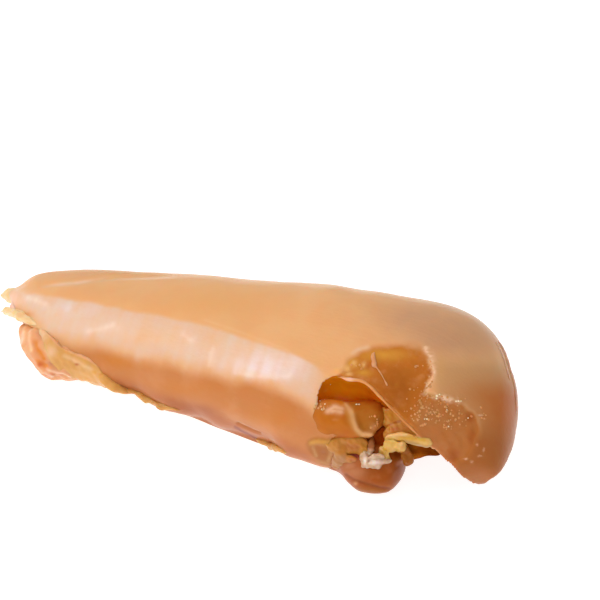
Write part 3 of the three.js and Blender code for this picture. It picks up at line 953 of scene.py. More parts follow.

# %% The big muscle's material
# Among these layers many are painted light. The orange under the band, part of the lower strip, the orange
# above the tip's fat, the dark lines in the grooves along the foot, the browner right side and edge of the
# neck, part of the tongue's brown and the pocket's darker back are painted shade. Part of the pale band, its
# cores, glints and shimmer, the pale line along the back crease, the sheen over the pocket and part of the
# torn film are painted highlights, and the bright orange inside the pocket stands in for light through its
# thin roof.
raw_breast = tissue(
    "raw_breast_muscle", ("#e1aa75", "#e0a46e"),
    [("top_orange", "#e0a367", 12, 0.2), ("grey", "#c6946c", 12, 0.2), ("low_neck", "#c89664", 12, 0.1),
     ("browned", "#b66218", 9, 0.05), ("tongue", "#a8622a", 9, 0.05), ("warm", "#cf9c62", 9, 0.2),
     ("edge_dark", "#a0602c", 9, 0.2), ("tip_pale", "#e8bc9e", 6, 0.3), ("roll", "#dba26f", 9, 0.2),
     ("crease_pale", "#e4b896", 6, 0.3), ("under", "#c47c44", 9, 0.15), ("orange", "#c87a30", 9, 0.2),
     ("tip_orange", "#d89048", 6, 0.2), ("strip", "#b46c40", 9, 0.2), ("ruddy", "#a0562a", 9, 0.3),
     ("band", "#dbbaa3", 6, 0.2), ("shimmer", "#e8d6da", 6, 0.2), ("core", "#ecd3c0", 6, 0.2),
     ("band_seam", "#e8c09a", 6, 0.2), ("glint", "#f4e0d2", 6, 0.2), ("gap", "#8a3a20", 3, 0.2),
     ("fringe", "#a95f2e", 3, 0.4), ("bare", "#bb6a1c", 3, 0.2), ("bare_glow", "#cf8e32", 6, 0.3),
     ("bare_deep", "#a0560e", 6, 0.3), ("bare_right", "#b8723a", 6, 0.4), ("bare_rim", "#a8581a", 6, 0.3),
     ("fleshy", "#e2ac68", 3, 0.4), ("film", "#ecc4a2", 3, 0.4), ("sheen", "#e0b48c", 3, 0.3),
     ("patch", "#a8642a", 3, 0.2), ("patch_cream", "#c58c3c", 3, 0.3), ("patch_pale", "#b9854f", 3, 0.5),
     ("patch_spot", "#a5683e", 3, 0.2), ("cavity", "#fb9a10", 6, 0.1), ("deep", "#e4740c", 6, 0.1),
     ("shade", "#8c4012", 6, 0.1)],
    blotch=14, scatter=1.4, roughness=0.45, wet=0.35, wet_roughness=0.2, fibre=0.12, shine=0.2,
    wetter="glossy")
breast.data.materials.append(raw_breast)
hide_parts("big_muscle")
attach(breast, "root")
breast_tree = tree_of(breast)

# %% [markdown]
# ## Helpers for the smaller pieces
#
# Lumps of fat or meat grow together: one skin is laid round a few pillows, strings and spindles, and is then
# made a little uneven. Each finished piece gets its material, and says which solid of the frame it stands
# for.

# %% Lumps that grow together
def fuse(name, forms, voxel=0.3, rounds=4, lumps=(), seed=0):
    """One skin round several forms, each a grid of rings, pushed in and out by each of the lumps, (push in
    mm, size in mm). Without a voxel size the forms keep their own skins."""
    piece = new_piece(name, [skin_of(rings) for rings in forms])
    if voxel:
        one_skin(piece, voxel, rounds)
    piece.data.shade_smooth()
    points, facing = points_of(piece), facing_of(piece)
    push = sum(amount * ripple(points, size, seed + i) for i, (amount, size) in enumerate(lumps))
    move_points(piece, points + (push * smooth(0, 1, points[:, 2]))[:, None] * facing)
    return piece


def settle(piece, material, slot, *nodes):
    """Gives the piece its material, lets it stand for its nodes and ride on the one body. `slot` is not used.
    """
    piece.data.materials.append(material)
    if nodes:
        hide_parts(*nodes)
    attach(piece, "root")


def pillow(*form, **size):
    """A pillow in the pocket."""
    return pillow_rings(pocket_mould, *form, **size)


def string(*stops, **size):
    """A string in the pocket."""
    return string_rings(pocket_mould, stops, **size)


# %% [markdown]
# ## The inner fillet
#
# Its tip end is the pink lobe, whose corner is drawn back. Its neck end is the round brown lobe under the
# pocket, with one deep crease. Between the two it lies hidden in its groove.

# %% The inner fillet
FILLET_STREAKS = (((35, 342), (37, 348), (40, 353), (43, 359)), ((38, 361), (42, 364), (46, 367)))
FILLET_PALE = (((30, 330), (29, 340), (31, 350)), ((24, 332), (23, 342)), ((47, 350), (50, 360)))
FILLET_MEMBRANES = (((47, 369), (53, 370), (58, 372)), ((57, 372), (64, 373), (71, 377)),
                    ((45, 372), (53, 376)))
FILLET_SHADOW = ((22, 325), (28, 324), (35, 326.5))
LOBE_CREASE = ((346, 475), (354, 480), (363, 483), (371, 485), (380, 488), (390, 489))
TIP_CUT = ((-80, 6), (-77, 6), (-73, 5), (-69, 2.5), (-65, 0.5), (-60, 0))      # x, mm to +y
TIP_SHIFT = ((322, -1.5), (330, -2.6), (340, -2.6), (350, -1.6), (360, 1.2), (370, 3.2), (380, 3.6))
LOBE_MOVES = ((45, 0), (55, 1.2), (65, 0.6), (78, 1.2), (95, 0.8), (110, 0), (325, 0), (336, 1.8), (348, 0.9),
              (360, 0.1), (375, 1.6), (390, 2.8), (405, 5.2))
TIP_RISE, FOOT_TUCK = 2.2, 2.2      # mm up under the tip, mm back at the round lobe's right foot

fillet = fuse("inner_fillet_meat", [spindle_rings(**INNER_FILLET)], voxel=0.55, lumps=((0.35, 16), (0.15, 6)),
              seed=20)
points, facing, column, row = in_view(fillet)
corner = np.clip((-8 - points[:, 1]) / 14, 0, 1)
points[:, 1] += corner * moves(TIP_CUT, points[:, 0])
points[:, 2] += TIP_RISE * smooth(-64, -76, points[:, 0]) * np.clip(1 - points[:, 2] / 16, 0, 1)
low = 1 - smooth(2, 14, points[:, 2])
points[:, 1] += low * moves(LOBE_MOVES, column)                              # column, mm to +y
points[:, 0] -= FOOT_TUCK * smooth(384, 410, column) * smooth(455, 470, row)
column, row = in_picture(points)
points[:, 0] += (1 - smooth(34, 66, column)) * moves(TIP_SHIFT, row)         # row, mm to +x
move_points(fillet, points)

# %% Crease and paint the inner fillet
points, facing, column, row = in_view(fillet)
neck_lobe = smooth(200, 300, column)
streaks = near_any(column, row, FILLET_STREAKS, 3.4)
membrane = near_any(column, row, FILLET_MEMBRANES, 1.6)
push = -0.3 * near(column, row, LOBE_CREASE, 1.9)
push += (1 - neck_lobe) * (0.25 * ripple(points, 4, 24) - 0.4 * streaks)
push += 0.4 * membrane
move_points(fillet, points + (push * smooth(0, 1.5, points[:, 2]))[:, None] * facing)
paint(fillet, streak=streaks, pale=near_any(column, row, FILLET_PALE, 2.4), lobe=neck_lobe, membrane=membrane,
      # crease: painted shade, a dark line in the round lobe's crease
      crease=near(column, row, LOBE_CREASE, 2.2), shadow=near(column, row, FILLET_SHADOW, 2.4),
      pink=pools(column, row, ((50, 364, 8, 4), (62, 374, 8, 3), (40, 335, 5, 9))),
      # lobe_right: painted shade on the round lobe's right side, away from the light
      red=pools(column, row, ((40, 364, 4, 4), (48, 375, 8, 3))), lobe_right=smooth(384, 398, column),
      # hole: painted shade, a dark hollow beside the round lobe
      lump=pool(column, row, 355.5, 483.5, 3, 2.6), hole=near(column, row, ((349, 454), (357, 456)), 5))
# under: painted shade on the round lobe's underside; lit: a painted highlight on its upper left
paint(fillet, neck_lobe, under=smooth(480, 491, row),
      lit=pools(column, row, ((356, 472, 13, 8), (350, 466, 10, 6))))
raw_fillet = tissue(
    "raw_fillet_muscle", ("#e3a676", "#dd996a"),
    [("lobe", "#a05014", 6, 0.2), ("lit", "#b87850", 6, 0.3), ("lobe_right", "#984c14", 6, 0.2),
     ("under", "#9a5208", 6, 0.3), ("lump", "#c48a5c", 3, 0.2), ("pink", "#d08e66", 3, 0.3),
     ("pale", "#eab890", 3, 0.3), ("streak", "#dc8430", 3, 0.3), ("red", "#cc6a34", 3, 0.4),
     ("membrane", "#e6b898", 3, 0.4), ("shadow", "#c97a34", 3, 0.2), ("crease", "#8a4210", 3, 0.3),
     ("hole", "#7a2412", 3, 0.2)],
    blotch=14, scatter=1.0, roughness=0.45, wet=0.3, shine=0.15, fibre=0.06)
settle(fillet, raw_fillet, "inner_meat", "inner_fillet")
fillet_tree = tree_of(fillet)

# %% [markdown]
# ## The glossy fold
#
# Inside the pocket a fold of bare meat bulges out, wet and translucent. It grows out of the pocket's left
# wall and is pinched in two by a pale seam: the left half is tan with a milky sheen, the right half olive.
# The milky sheen and the pale flank beside the seam are painted highlights, and its top under the rim and its
# lower edge are painted shade.

# %% The glossy fold inside the pocket
FOLD_SEAM = ((346, 404), (350, 410), (352.5, 416), (354, 422), (356.5, 429), (362, 434), (371, 435))
FOLD_SHEEN = (((328, 411), (334, 407), (342, 408.5)), ((332, 411), (341, 412)))
FOLD_AMBER = ((356, 416), (359, 422), (362, 428), (366, 431))
FOLD_BROWN = ((380, 407), (381, 415), (379, 423))
SEAM_AT = ((398, 347), (408, 352), (415, 355), (422, 357), (429, 360.5), (436, 366))      # row, column
fold = fuse("pocket_fold_meat", [
    pillow([(322, 402, 5), (334, 400.5, 6), (346, 401.5, 7), (358, 400.5, 7.5), (370, 400.5, 8),
            (380, 404, 8), (384, 412, 7.5), (380, 424, 6.5), (370, 432, 5.5), (358, 435, 4.5), (342, 437, 4),
            (328, 434, 3.5), (318, 426, 3), (315, 414, 3)], (350, 418, 6), front=3.9, back=4, fullness=2.4),
    pillow([(311, 408, 1.5), (316, 401, 2.5), (324, 398.5, 4), (334, 399.5, 5), (345, 401.5, 4.8),
            (352, 407, 4.4), (357, 416, 4), (360, 425, 3.6), (363, 433, 3.3), (356, 438.5, 3),
            (344, 440, 2.8), (331, 439, 2.4), (320, 435, 1.8), (313, 427, 1.4), (309.5, 417, 1.2)],
           (333, 420, 3.2), front=3.5, back=4, fullness=2.1),
    pillow([(352, 407, 5), (358, 402, 6.5), (367, 399.5, 8), (376, 400.5, 8.5), (383, 405, 8.5),
            (386, 412, 8), (385, 420, 7), (380, 428, 6), (373, 433.5, 5), (365, 436, 4), (358, 434, 4),
            (354, 427, 4), (351, 417, 4)], (367, 417, 6), front=3.4, back=4, fullness=2.1),
    string((354, 427, 2.4, 1.6, 0.5), (359, 432.5, 2.1, 2.4, 0.7), (366, 435.5, 2.5, 2.4, 0.7),
           (372, 434.5, 3.3, 2, 0.6), (377, 430.5, 4.4, 1.4, 0.5)),
], voxel=0.38, rounds=8, lumps=((0.2, 9), (0.07, 4)), seed=30)

# %% Crease and paint the fold
points, facing, column, row = in_view(fold)
past_seam = column - np.interp(row, *np.transpose(SEAM_AT))
right_of_seam = smooth(-1.5, 1.5, past_seam)
push = -0.2 * near(column, row, FOLD_AMBER, 3) + 0.12 * near_any(column, row, FOLD_SHEEN, 3)
move_points(fold, points + push[:, None] * facing)
# sheen: a painted highlight, the milky sheen on the left half
sheen = 0.85 * near_any(column, row, FOLD_SHEEN, 4) + 0.4 * pool(column, row, 334, 420, 5, 2)
paint(fold, seam=near(column, row, FOLD_SEAM, 3.2), olive=right_of_seam, sheen=sheen,
      amber=near(column, row, FOLD_AMBER, 4.5), brown=near(column, row, FOLD_BROWN, 4),
      # flank: a painted highlight along the lit edge of the left half beside the seam
      flank=smooth(-14, -3, past_seam) * (1 - right_of_seam) * smooth(404, 412, row),
      # foot: painted shade along the left half's lower edge
      foot=smooth(430, 440, row) * (1 - right_of_seam), blush=pool(column, row, 375, 428, 6, 5),
      root=1 - smooth(312, 322, column), flecked=pool(column, row, 322, 404, 9, 7),
      # top: painted shade on the right half's top, under the rim
      top=(1 - smooth(399, 407, row)) * smooth(345, 352, column))
fold_meat = tissue(
    "bare_meat_fold", ("#bc6a10", "#b66410"),
    [("flank", "#cc9048", 6, 0.2), ("root", "#b56418", 6, 0.2), ("olive", "#ac651a", 6, 0.2),
     ("amber", "#a25c0a", 3, 0.2), ("brown", "#9c5c16", 3, 0.2), ("top", "#a85210", 3, 0.2),
     ("foot", "#aa5412", 3, 0.3), ("blush", "#c88650", 3, 0.4), ("flecked", "#cc7c3e", 3, 0.4),
     ("sheen", "#e2b48e", 3, 0.3), ("seam", "#dca870", 3, 0.1)],
    scatter=1.4, roughness=0.4, wet=0.35, wet_roughness=0.12, pores=0.05, shine=0.15)
settle(fold, fold_meat, "bare_meat", "pocket_fold")
fold_tree = tree_of(fold)

# %% [markdown]
# ## Fat and sinew in the pocket
#
# Fat is pale yellow and dull, and lies in soft strings and lumps where the fillet was torn away. Sinew and
# membrane are whiter and wetter. Each shred is a few pillows and strings grown together and made a little
# lumpy.

# %% The finger of fat
soft_fat = tissue(
    "raw_fat", ("#d8ac5c", "#cc9a48"),
    [("cream", "#dfb274", 3, 0.3), ("yellow", "#cf9c3a", 3, 0.3), ("shaded", "#b08446", 3, 0.3)])
finger = fuse("fat_finger_shred", [
    string((384, 440.5, 2.2, 2.2, 1), (389, 438, 1.4, 4, 1.5), (397, 437, 0.9, 4.4, 1.6),
           (406, 438.2, 0.4, 4.8, 1.7), (415, 440, 0, 5.4, 1.8), (423, 442, -0.4, 5.6, 1.8),
           (429, 443.3, -0.7, 5.2, 1.6), (433.5, 444.6, -0.5, 4, 1.2), ends=6),
    string((387, 436.5, 1.1, 1.4, 0.6), (396, 434.4, 0.5, 1.8, 0.8), (405, 434.2, 0.2, 1.8, 0.7),
           (414, 436, -0.1, 1.4, 0.5)),
], lumps=((0.1, 4), (0.06, 1.8)), seed=40)
*_, column, row = in_view(finger)
paint(finger, cream=near(column, row, ((387, 436.5), (396, 434.5), (406, 434.5)), 2.4),
      yellow=near(column, row, ((400, 438.5), (412, 439), (424, 440)), 2.4),
      shaded=near(column, row, ((405, 441.5), (414, 443.5), (424, 446.5), (434, 447)), 2.6))
settle(finger, soft_fat, "fat", "fat_finger")

# %% The stub and the drop of fat
stub = fuse("fat_stub_shred", [
    pillow([(383.5, 442, 2), (387, 439.5, 1.8), (393, 439.5, 1.8), (399, 441, 2), (399, 447, 2.2),
            (395, 452, 2.6), (388, 452, 2.8), (383, 448, 3)], (390.5, 446, 2.4), front=2, back=2),
    pillow([(393.5, 446.5, 2.2), (395.5, 441.6, 2), (400, 440.4, 2), (405, 441.6, 2), (406.4, 446.3, 2),
            (405, 451, 2.2), (400, 452.6, 2.4), (395.4, 451.4, 2.4)], (400, 446.4, 2.2), front=2.6, back=2.2),
    string((380.5, 447, 2.8, 3, 1), (383.5, 452, 1.9, 4.6, 1.4), (386, 458, 1.5, 4.6, 1.3),
           (388, 463, 1.2, 3.4, 1.1)),
], lumps=((0.25, 3.6), (0.14, 1.9)), seed=50)
*_, column, row = in_view(stub)
paint(stub, cream=pools(column, row, ((401, 444, 5, 4), (381, 449, 4, 3))),
      yellow=pool(column, row, 385, 450, 3, 4),
      shaded=pools(column, row, ((388, 461, 5, 5), (394, 452, 6, 2))))
settle(stub, soft_fat, "fat", "fat_stub")

drop = fuse("fat_drop_shred", [
    pillow([(401, 447, 3), (407, 446.5, 2.6), (411, 451, 2.2), (413.5, 457, 1.8), (413, 463, 1.7),
            (408.5, 466, 2), (403.8, 464.5, 2.6), (401.5, 459, 3.2), (400, 452, 3.6)], (407, 458, 3),
           front=1.8, back=2.2),
], lumps=((0.2, 4), (0.12, 1.9)), seed=60)
# The drop of fat is a darker brown.
settle(drop, tissue("stained_fat", ("#98581a", "#8c4e14"), wet=0.15, shine=0.1), "fat", "fat_drop")

# %% The white sinew
WET_FILM = dict(roughness=0.3, wet=0.9)      # sinew and membrane are the wettest parts
sinew = tissue("torn_sinew", ("#cfae92", "#c59c78"),
               [("dim", "#a06030", 3, 0.3), ("bright", "#e6d0c4", 3, 0.4)],
               blotch=2.5, scatter=0.7, **WET_FILM)
torn = fuse("torn_tissue_shred", [
    string((362, 448, 1.4, 2.8, 0.9), (363.5, 454, -0.2, 4, 1.3), (364, 460, -1.9, 4.4, 1.4),
           (365, 466, -2.8, 4, 1.3), (367, 470, -3, 2.8, 1)),
    string((364, 467.5, -3, 3, 1), (371, 466, -2.6, 4.6, 1.2), (379, 463.8, -1.5, 5.2, 1.2),
           (386, 462, 0.1, 4.4, 1.2), (392, 460, 1.4, 2.8, 1)),
    string((368, 459, -1.6, 2.6, 0.9), (376, 457, -1.1, 3.4, 1), (385, 457.5, 0.1, 3, 1)),
    string((372.5, 437, 5.4, 2.4, 0.6), (371.5, 443, 3.6, 3.6, 0.8), (370.5, 449, 2.0, 4, 0.8),
           (369, 456, 0.2, 3.4, 0.8)),
], voxel=0.26, lumps=((0.2, 2.6), (0.12, 1.3)), seed=70)
*_, column, row = in_view(torn)
paint(torn, dim=1 - smooth(446, 456, row), bright=pools(column, row, ((376, 462.5, 9, 3), (365, 460, 3, 6))))
settle(torn, sinew, "tissue", "torn_tissue")

# %% The fat at the back and foot of the pocket
pocket_fat = tissue(
    "pocket_fat", ("#c28434", "#b87628"),
    [("mustard", "#bc7c16", 3, 0.2), ("amber", "#ac6014", 3, 0.3), ("blush", "#b86c34", 3, 0.3),
     ("apron", "#b07a4a", 3, 0.2)], wet=0.4)
back_fat = fuse("pocket_back_fat", [
    pillow([(382, 408, 6), (390, 408, 5), (398, 413, 4), (405, 420, 3.2), (402, 424, 3.6), (394, 425.5, 4.5),
            (386, 427, 6), (381, 424, 7), (380, 416, 7)], (391, 417, 6), front=1.8, back=2.5),
    pillow([(383, 433, 5), (386, 427, 5), (394, 423, 4.5), (404, 422, 3.5), (413, 428, 2.5), (419, 434, 2),
            (412, 438, 2.5), (398, 438, 4), (386, 438, 5)], (399, 431, 4.8), front=2.2, back=2.5),
    pillow([(330, 441, 1.8), (337, 434.5, 3.6), (350, 433, 4.8), (361, 434, 5.2), (369, 443, 4.2),
            (366, 452, 3), (357, 454, 2.4), (346, 453, 1.6), (336, 451, 1)],
           (349, 444, 2.8), front=2, back=3),
    pillow([(325, 443, 0.6), (331, 437, 2), (338, 437, 2.8), (344, 445, 2.2), (342, 453, 1.2),
            (335, 455, 0.6), (328, 450, 0.4)], (335, 446, 1.4), front=1.3, back=2),
    pillow([(335, 453, 0.4), (342, 451, 0.8), (348, 456, 0.6), (348, 463, 0), (342, 468, -0.4),
            (335, 469, -0.2), (331, 462, 0.2)], (340, 460, 0.2), front=1.4, back=2),
    pillow([(356, 447, 2.6), (361, 444, 2.8), (367, 446, 3), (368, 452, 2.4), (365, 457, 1.8), (360, 456, 2),
            (356, 452, 2.4)], (362, 450.5, 2.6), front=1.6, back=2),
    pillow([(344, 459, 0.2), (348, 456, 0.6), (354, 456.5, 0.8), (359, 460, 0.6), (357, 464, 0),
            (350, 464.5, -0.4), (345, 463, -0.4)], (351.5, 460.5, 0.4), front=1.8, back=1.5),
], lumps=((0.22, 4), (0.12, 1.9)), seed=80)
*_, column, row = in_view(back_fat)
amber_line = near(column, row, ((374, 431), (386, 426), (396, 422), (404, 420)), 1.6)
paint(back_fat, mustard=pools(column, row, ((392, 415, 14, 7), (362, 450, 6, 6))),
      amber=np.maximum(pools(column, row, ((350, 446, 12, 6), (410, 426, 8, 5))), amber_line),
      blush=pools(column, row, ((352, 460, 9, 5), (396, 429, 7, 3))),
      apron=smooth(450, 457, row) * (1 - smooth(344, 350, column)))
settle(back_fat, pocket_fat, "fat")

# %% The flap of meat at the pocket's back, painted dark as shade
dark_meat = tissue(
    "shaded_meat", ("#945010", "#8a420a"), [("darker", "#6c2c04", 3, 0.2), ("ruddy", "#963c08", 3, 0.2)],
    blotch=3, roughness=0.75, wet=0.0, shine=0.0)
# A dark piece where the back of the pocket lies in shade: its colour is painted shade, darker to the right
# and redder to the left
flap = fuse("pocket_flap_meat", [
    pillow([(400, 444, 9), (412, 440, 8), (426, 441, 6.5), (434, 448, 6), (439.5, 453.5, 6), (436, 455, 6.5),
            (428, 455.5, 8), (418, 458, 8.5), (411, 460.5, 8.5), (404, 460, 9), (399, 453, 9.5)],
           (419, 451, 9), front=2.5, back=5, fullness=2.8),
    pillow([(364, 438, 6), (370, 434, 7), (378, 430, 8), (386, 425, 8.5), (391, 430, 8), (388, 438, 7),
            (386, 446, 6), (381, 452, 5), (375, 452, 5), (369, 446, 5.5)], (378, 440, 8), front=1.5, back=5),
], voxel=0.4, lumps=((0.25, 4),), seed=90)
*_, column, row = in_view(flap)
paint(flap, darker=smooth(414, 430, column), ruddy=1 - smooth(386, 396, column))
settle(flap, dark_meat, "bare_meat")

# %% [markdown]
# ## Films and threads
#
# The pocket's rim is edged with a thin skin that runs on as a taut thread to the finger of fat. A second
# thread hangs over the bare meat, and along the neck end the outer membrane lifts in a double line.

# %% The film along the pocket's rim
rim = fuse("rim_film", [
    string((336, 376.5, 0.6, 0.8, 0.3), (341, 377.3, -0.1, 1.4, 0.5), (346, 378.6, -0.4, 2.1, 0.7),
           (352, 379.4, -0.5, 2.3, 0.7), (359, 380.2, -0.4, 2.0, 0.6), (365, 382.8, -0.3, 1.7, 0.5),
           (371, 387.4, -0.2, 1.4, 0.5), (384, 401, -0.2, 1.3, 0.45), (399, 416, -0.2, 1.3, 0.45),
           (412, 429, -0.3, 1.3, 0.45), (418, 435, -0.7, 1.6, 0.5), ends=8, steps=120),
], voxel=0.22, rounds=3, lumps=((0.08, 3),), seed=95)
*_, column, row = in_view(rim)
paint(rim, pale=pool(column, row, 349, 379, 8, 5),
      dark=smooth(376, 392, column) * (1 - smooth(404, 416, column)))
film_skin = tissue("meat_skin_film", ("#d8985a", "#ce8a48"),
                   [("pale", "#e6b898", 3, 0.3), ("dark", "#c4803e", 3, 0.2)],
                   blotch=5, scatter=0.8, **WET_FILM)
settle(rim, film_skin, "tissue")

# %% The thread over the bare meat
skin_trees = [breast_tree, fold_tree, fillet_tree]
THREAD_LINE = ((374.5, 352.5), (373, 356), (374, 361), (374.5, 365), (377, 368), (381, 374), (385, 381),
               (387.5, 386))
THREAD_SIZE = (0.45, 0.8, 0.7, 0.8, 0.2, 0.16, 0.2, 0.6)      # half widths in mm
THREAD_LIFT = 0.1      # mm that a thread's middle lies over the meat


def thread(name, line, size, seed):
    """A round thread on the meat, along a line through pixels, with half widths `size` in mm."""
    rings = spindle_rings(place_on(skin_trees, line, lift=THREAD_LIFT), size, size, 5, sides=14, steps=90)
    return fuse(name, [rings], voxel=None, lumps=((0.06, 2.5),), seed=seed)


fibre = tissue("loose_fibre", ("#d99e70", "#cf9060"), blotch=3, scatter=0.8, **WET_FILM)
settle(thread("hanging_thread", THREAD_LINE, THREAD_SIZE, seed=97), fibre, "tissue")

# %% The lifted membrane at the neck
MEMBRANES = {      # rows, pixels inward from the muscle's right outline, half widths in mm
    "neck_membrane_outer": ((340, 347, 357, 368, 380, 392, 404, 416), 2.0,
                            (0.2, 0.4, 0.4, 0.4, 0.4, 0.4, 0.35, 0.2)),
    "neck_membrane_inner": ((342, 350, 359, 370, 383), 5.0, (0.12, 0.25, 0.22, 0.25, 0.12)),
}


def outermost(pixels, others, at):
    """The muscle's outermost pixel column at row `at`, or pixel row at column `at`."""
    return pixels[np.abs(others - at) < 1.5].max()


grey_film = tissue("neck_membrane", ("#d6ae98", "#c99c84"), blotch=5, scatter=0.8, **WET_FILM)
*_, edge_column, edge_row = in_view(breast)
for seed, (name, (rows, inward, size)) in enumerate(MEMBRANES.items()):
    line = [(outermost(edge_column, edge_row, at) - inward, at) for at in rows]
    settle(thread(name, line, size, seed=98 + seed), grey_film, "tissue")

# %% [markdown]
# ## The tip end and the lower edge
#
# At the tip two shreds of pale fat stick out, with a thin film between them. From there a flat band of yellow
# fat runs down over the inner fillet and thins out into a wavy fringe along the lower edge.

# %% The band of fat over the fillet's tip
tip_mould = mould_of([breast_tree, fillet_tree], columns=np.arange(26, 130, 8), rows=np.arange(326, 392, 6))
MEAT_FOOT = ((33.6, 321), (46, 336), (56, 347), (66, 353), (78, 358.6), (88, 363), (98, 369), (110, 377),
             (120, 384))      # the fat's upper part has the meat's colour down to here
rim_fat = fuse("rim_fat_band", [
    string_rings(tip_mould, (
        (33, 321.5, 0.4, 3, 1.0), (40, 328, -0.5, 5, 1.4), (46, 338, -0.9, 6.5, 1.6), (52, 348, -1.2, 8, 1.8),
        (60, 357, -1.4, 10, 1.9), (70, 363.5, -1.5, 12, 2.0), (80, 367.5, -1.5, 13, 2.0),
        (89, 371.5, -1.5, 12, 2.0), (97.5, 377.5, -1.4, 9.5, 1.9), (106, 383.5, -1.3, 7, 1.6),
        (115, 388.5, -1.2, 4.6, 1.2)), sides=36),
    spindle_rings(place_on([breast_tree], ((99, 373), (107, 379.5), (116, 385.5), (125, 389.5), (133, 393))),
                  (2.0, 2.6, 2.6, 2.2, 1.2), (1.2, 1.4, 1.4, 1.2, 0.8), 4),
], voxel=0.35, lumps=((0.25, 8), (0.1, 3)), seed=100)
*_, column, row = in_view(rim_fat)
paint(rim_fat, meat=smooth(0, 4, row_of(column, MEAT_FOOT) - row), ochre=pool(column, row, 95, 372, 6, 5),
      cream=pools(column, row, ((42, 333, 8, 12), (52, 352, 7, 8))),
      spot=pool(column, row, 76.5, 364.5, 3.2, 2),
      edge=near(column, row, ((64, 356), (76, 361), (86, 366), (96, 373)), 3))
rim_fat_look = tissue(
    "rim_fat", ("#d8a058", "#d29850"),
    [("cream", "#e0b48a", 3, 0.3), ("edge", "#dfb07c", 3, 0.4), ("ochre", "#d89a44", 3, 0.3),
     ("spot", "#b05c18", 3, 0.2), ("meat", "#e2a87c", 3, 0.1)], wet=0.5)
settle(rim_fat, rim_fat_look, "fat", "rim_fat")

# %% The shreds of fat at the tip and the film between them
def tip_shred(name, path, width, height, ends, lumps, seed):
    """One spindle at the muscle's tip; its path is in mm, before the shift to the origin."""
    return fuse(name, [spindle_rings(np.array(path) + ORIGIN, width, height, ends)], lumps=lumps, seed=seed)


tip_white = tissue("tip_fat", ("#ecca98", "#e6be86"), wet=0.6)
pale_film = tissue("pale_film", ("#f0cebb", "#eac0a8"), scatter=1.2, **WET_FILM)
tip_fat = tip_shred(
    "tip_fat_shred", ((-93.6, 3, 11.9), (-89.5, 3.2, 12.8), (-84, 3, 14.2)), (1.0, 3.4, 4.5), (0.8, 2.2, 3),
    ends=4, lumps=((0.3, 5), (0.15, 2)), seed=110)
tip_strip = tip_shred(
    "tip_strip_shred", ((-89, -4.8, 11.4), (-84, -6.8, 14.0), (-76.5, -9.8, 16.2), (-67.5, -13.4, 17.4)),
    (0.4, 1.3, 2.0, 1.6), (0.4, 1.2, 1.5, 1.2), ends=3, lumps=((0.2, 4), (0.1, 2)), seed=120)
tip_film = tip_shred(
    "tip_film", ((-83.8, 1, 14.5), (-83.4, -2, 14), (-82.6, -5, 13.8)), (2.4, 2.6, 2.4), (0.9, 0.9, 0.9),
    ends=3, lumps=((0.15, 4),), seed=125)
settle(tip_fat, tip_white, "fat", "tip_fat")
settle(tip_strip, tip_white, "fat", "tip_strip")
settle(tip_film, pale_film, "tissue")

# %% The fringe along the lower edge
EDGE_SHREDS = {      # columns, half widths in mm
    "edge_shred_left": ((124, 130, 136, 144, 153, 162, 172, 181), (0.9, 1.0, 0.9, 1.3, 1.0, 1.4, 1.1, 0.5)),
    "edge_shred_right": ((254, 261, 266, 272, 279, 287), (0.6, 1.3, 0.9, 1.4, 1.5, 0.7)),
}
EDGE_RISE = 3.6      # pixels from the muscle's lower outline up to the middle of its fringe
edge_fat = tissue("edge_fat", ("#d29a54", "#c88e48"), wet=0.4)
for seed, (node, (columns, size)) in enumerate(EDGE_SHREDS.items()):
    line = [(at, outermost(edge_row, edge_column, at) - EDGE_RISE) for at in columns]
    path = spindle_rings(place_on([breast_tree], line), size, np.array(size) * 0.8, 4)
    shred = fuse(node + "_fat", [path], lumps=((0.2, 4), (0.1, 2)), seed=130 + seed)
    settle(shred, edge_fat, "fat", node)

# %% [markdown]
# ## Beads of juice
#
# Where the skin is torn, tiny beads of meat juice and loose fibre ends catch the light. They are about half a
# millimetre across, so each is a ball of a few dozen faces, pressed flat and set on the meat at a pixel.
# The brightest of them are painted nearly white, as painted glints.

# %% Beads on the bare meat and on the fold
BEAD_POOLS = (      # column, row, half columns, half rows, count
    (444, 414, 22, 12, 70), (424, 402, 12, 12, 44), (428, 388, 4, 9, 12), (421, 420, 14, 8, 20),
    (452, 428, 9, 9, 18), (430, 372, 3, 12, 6), (473, 454, 12, 6, 14), (321, 405, 7, 5, 18),
    (374, 425, 4, 5, 7), (372, 417, 4, 2, 4), (356, 364, 5, 4, 5), (482, 417, 4, 3, 6), (416, 366, 4, 2, 4),
)
# These beads are painted nearly white, as painted highlights of wet glints.
BRIGHT_BEADS = (      # column, row, radius in mm
    (437, 396, 0.34), (436.5, 398.5, 0.3), (439.5, 394.5, 0.24), (456, 401.3, 0.26), (458.5, 401, 0.26),
    (461, 401, 0.2), (356.5, 404.3, 0.34), (359, 404.4, 0.3), (318, 408, 0.26), (322, 409.5, 0.32),
    (325, 404, 0.26), (320, 401, 0.22), (330.5, 384.5, 0.22), (448.5, 426.5, 0.26), (427, 419, 0.26),
    (424.5, 419, 0.2), (468, 418, 0.24), (374.5, 364, 0.3), (416, 366, 0.26), (447, 410, 0.24),
)
BEAD_RADII, BEAD_POWER = (0.16, 0.52), 1.2      # mm, and a power that makes most beads small
BEAD_SPREAD = 1.6                               # half a pool's columns over the spread of its beads
RIM_START, RIM_CLEAR = 380, 3                   # from this column on, pixels kept free over the slanting rim
BEAD_RINGS, BEAD_SIDES = 5, 7


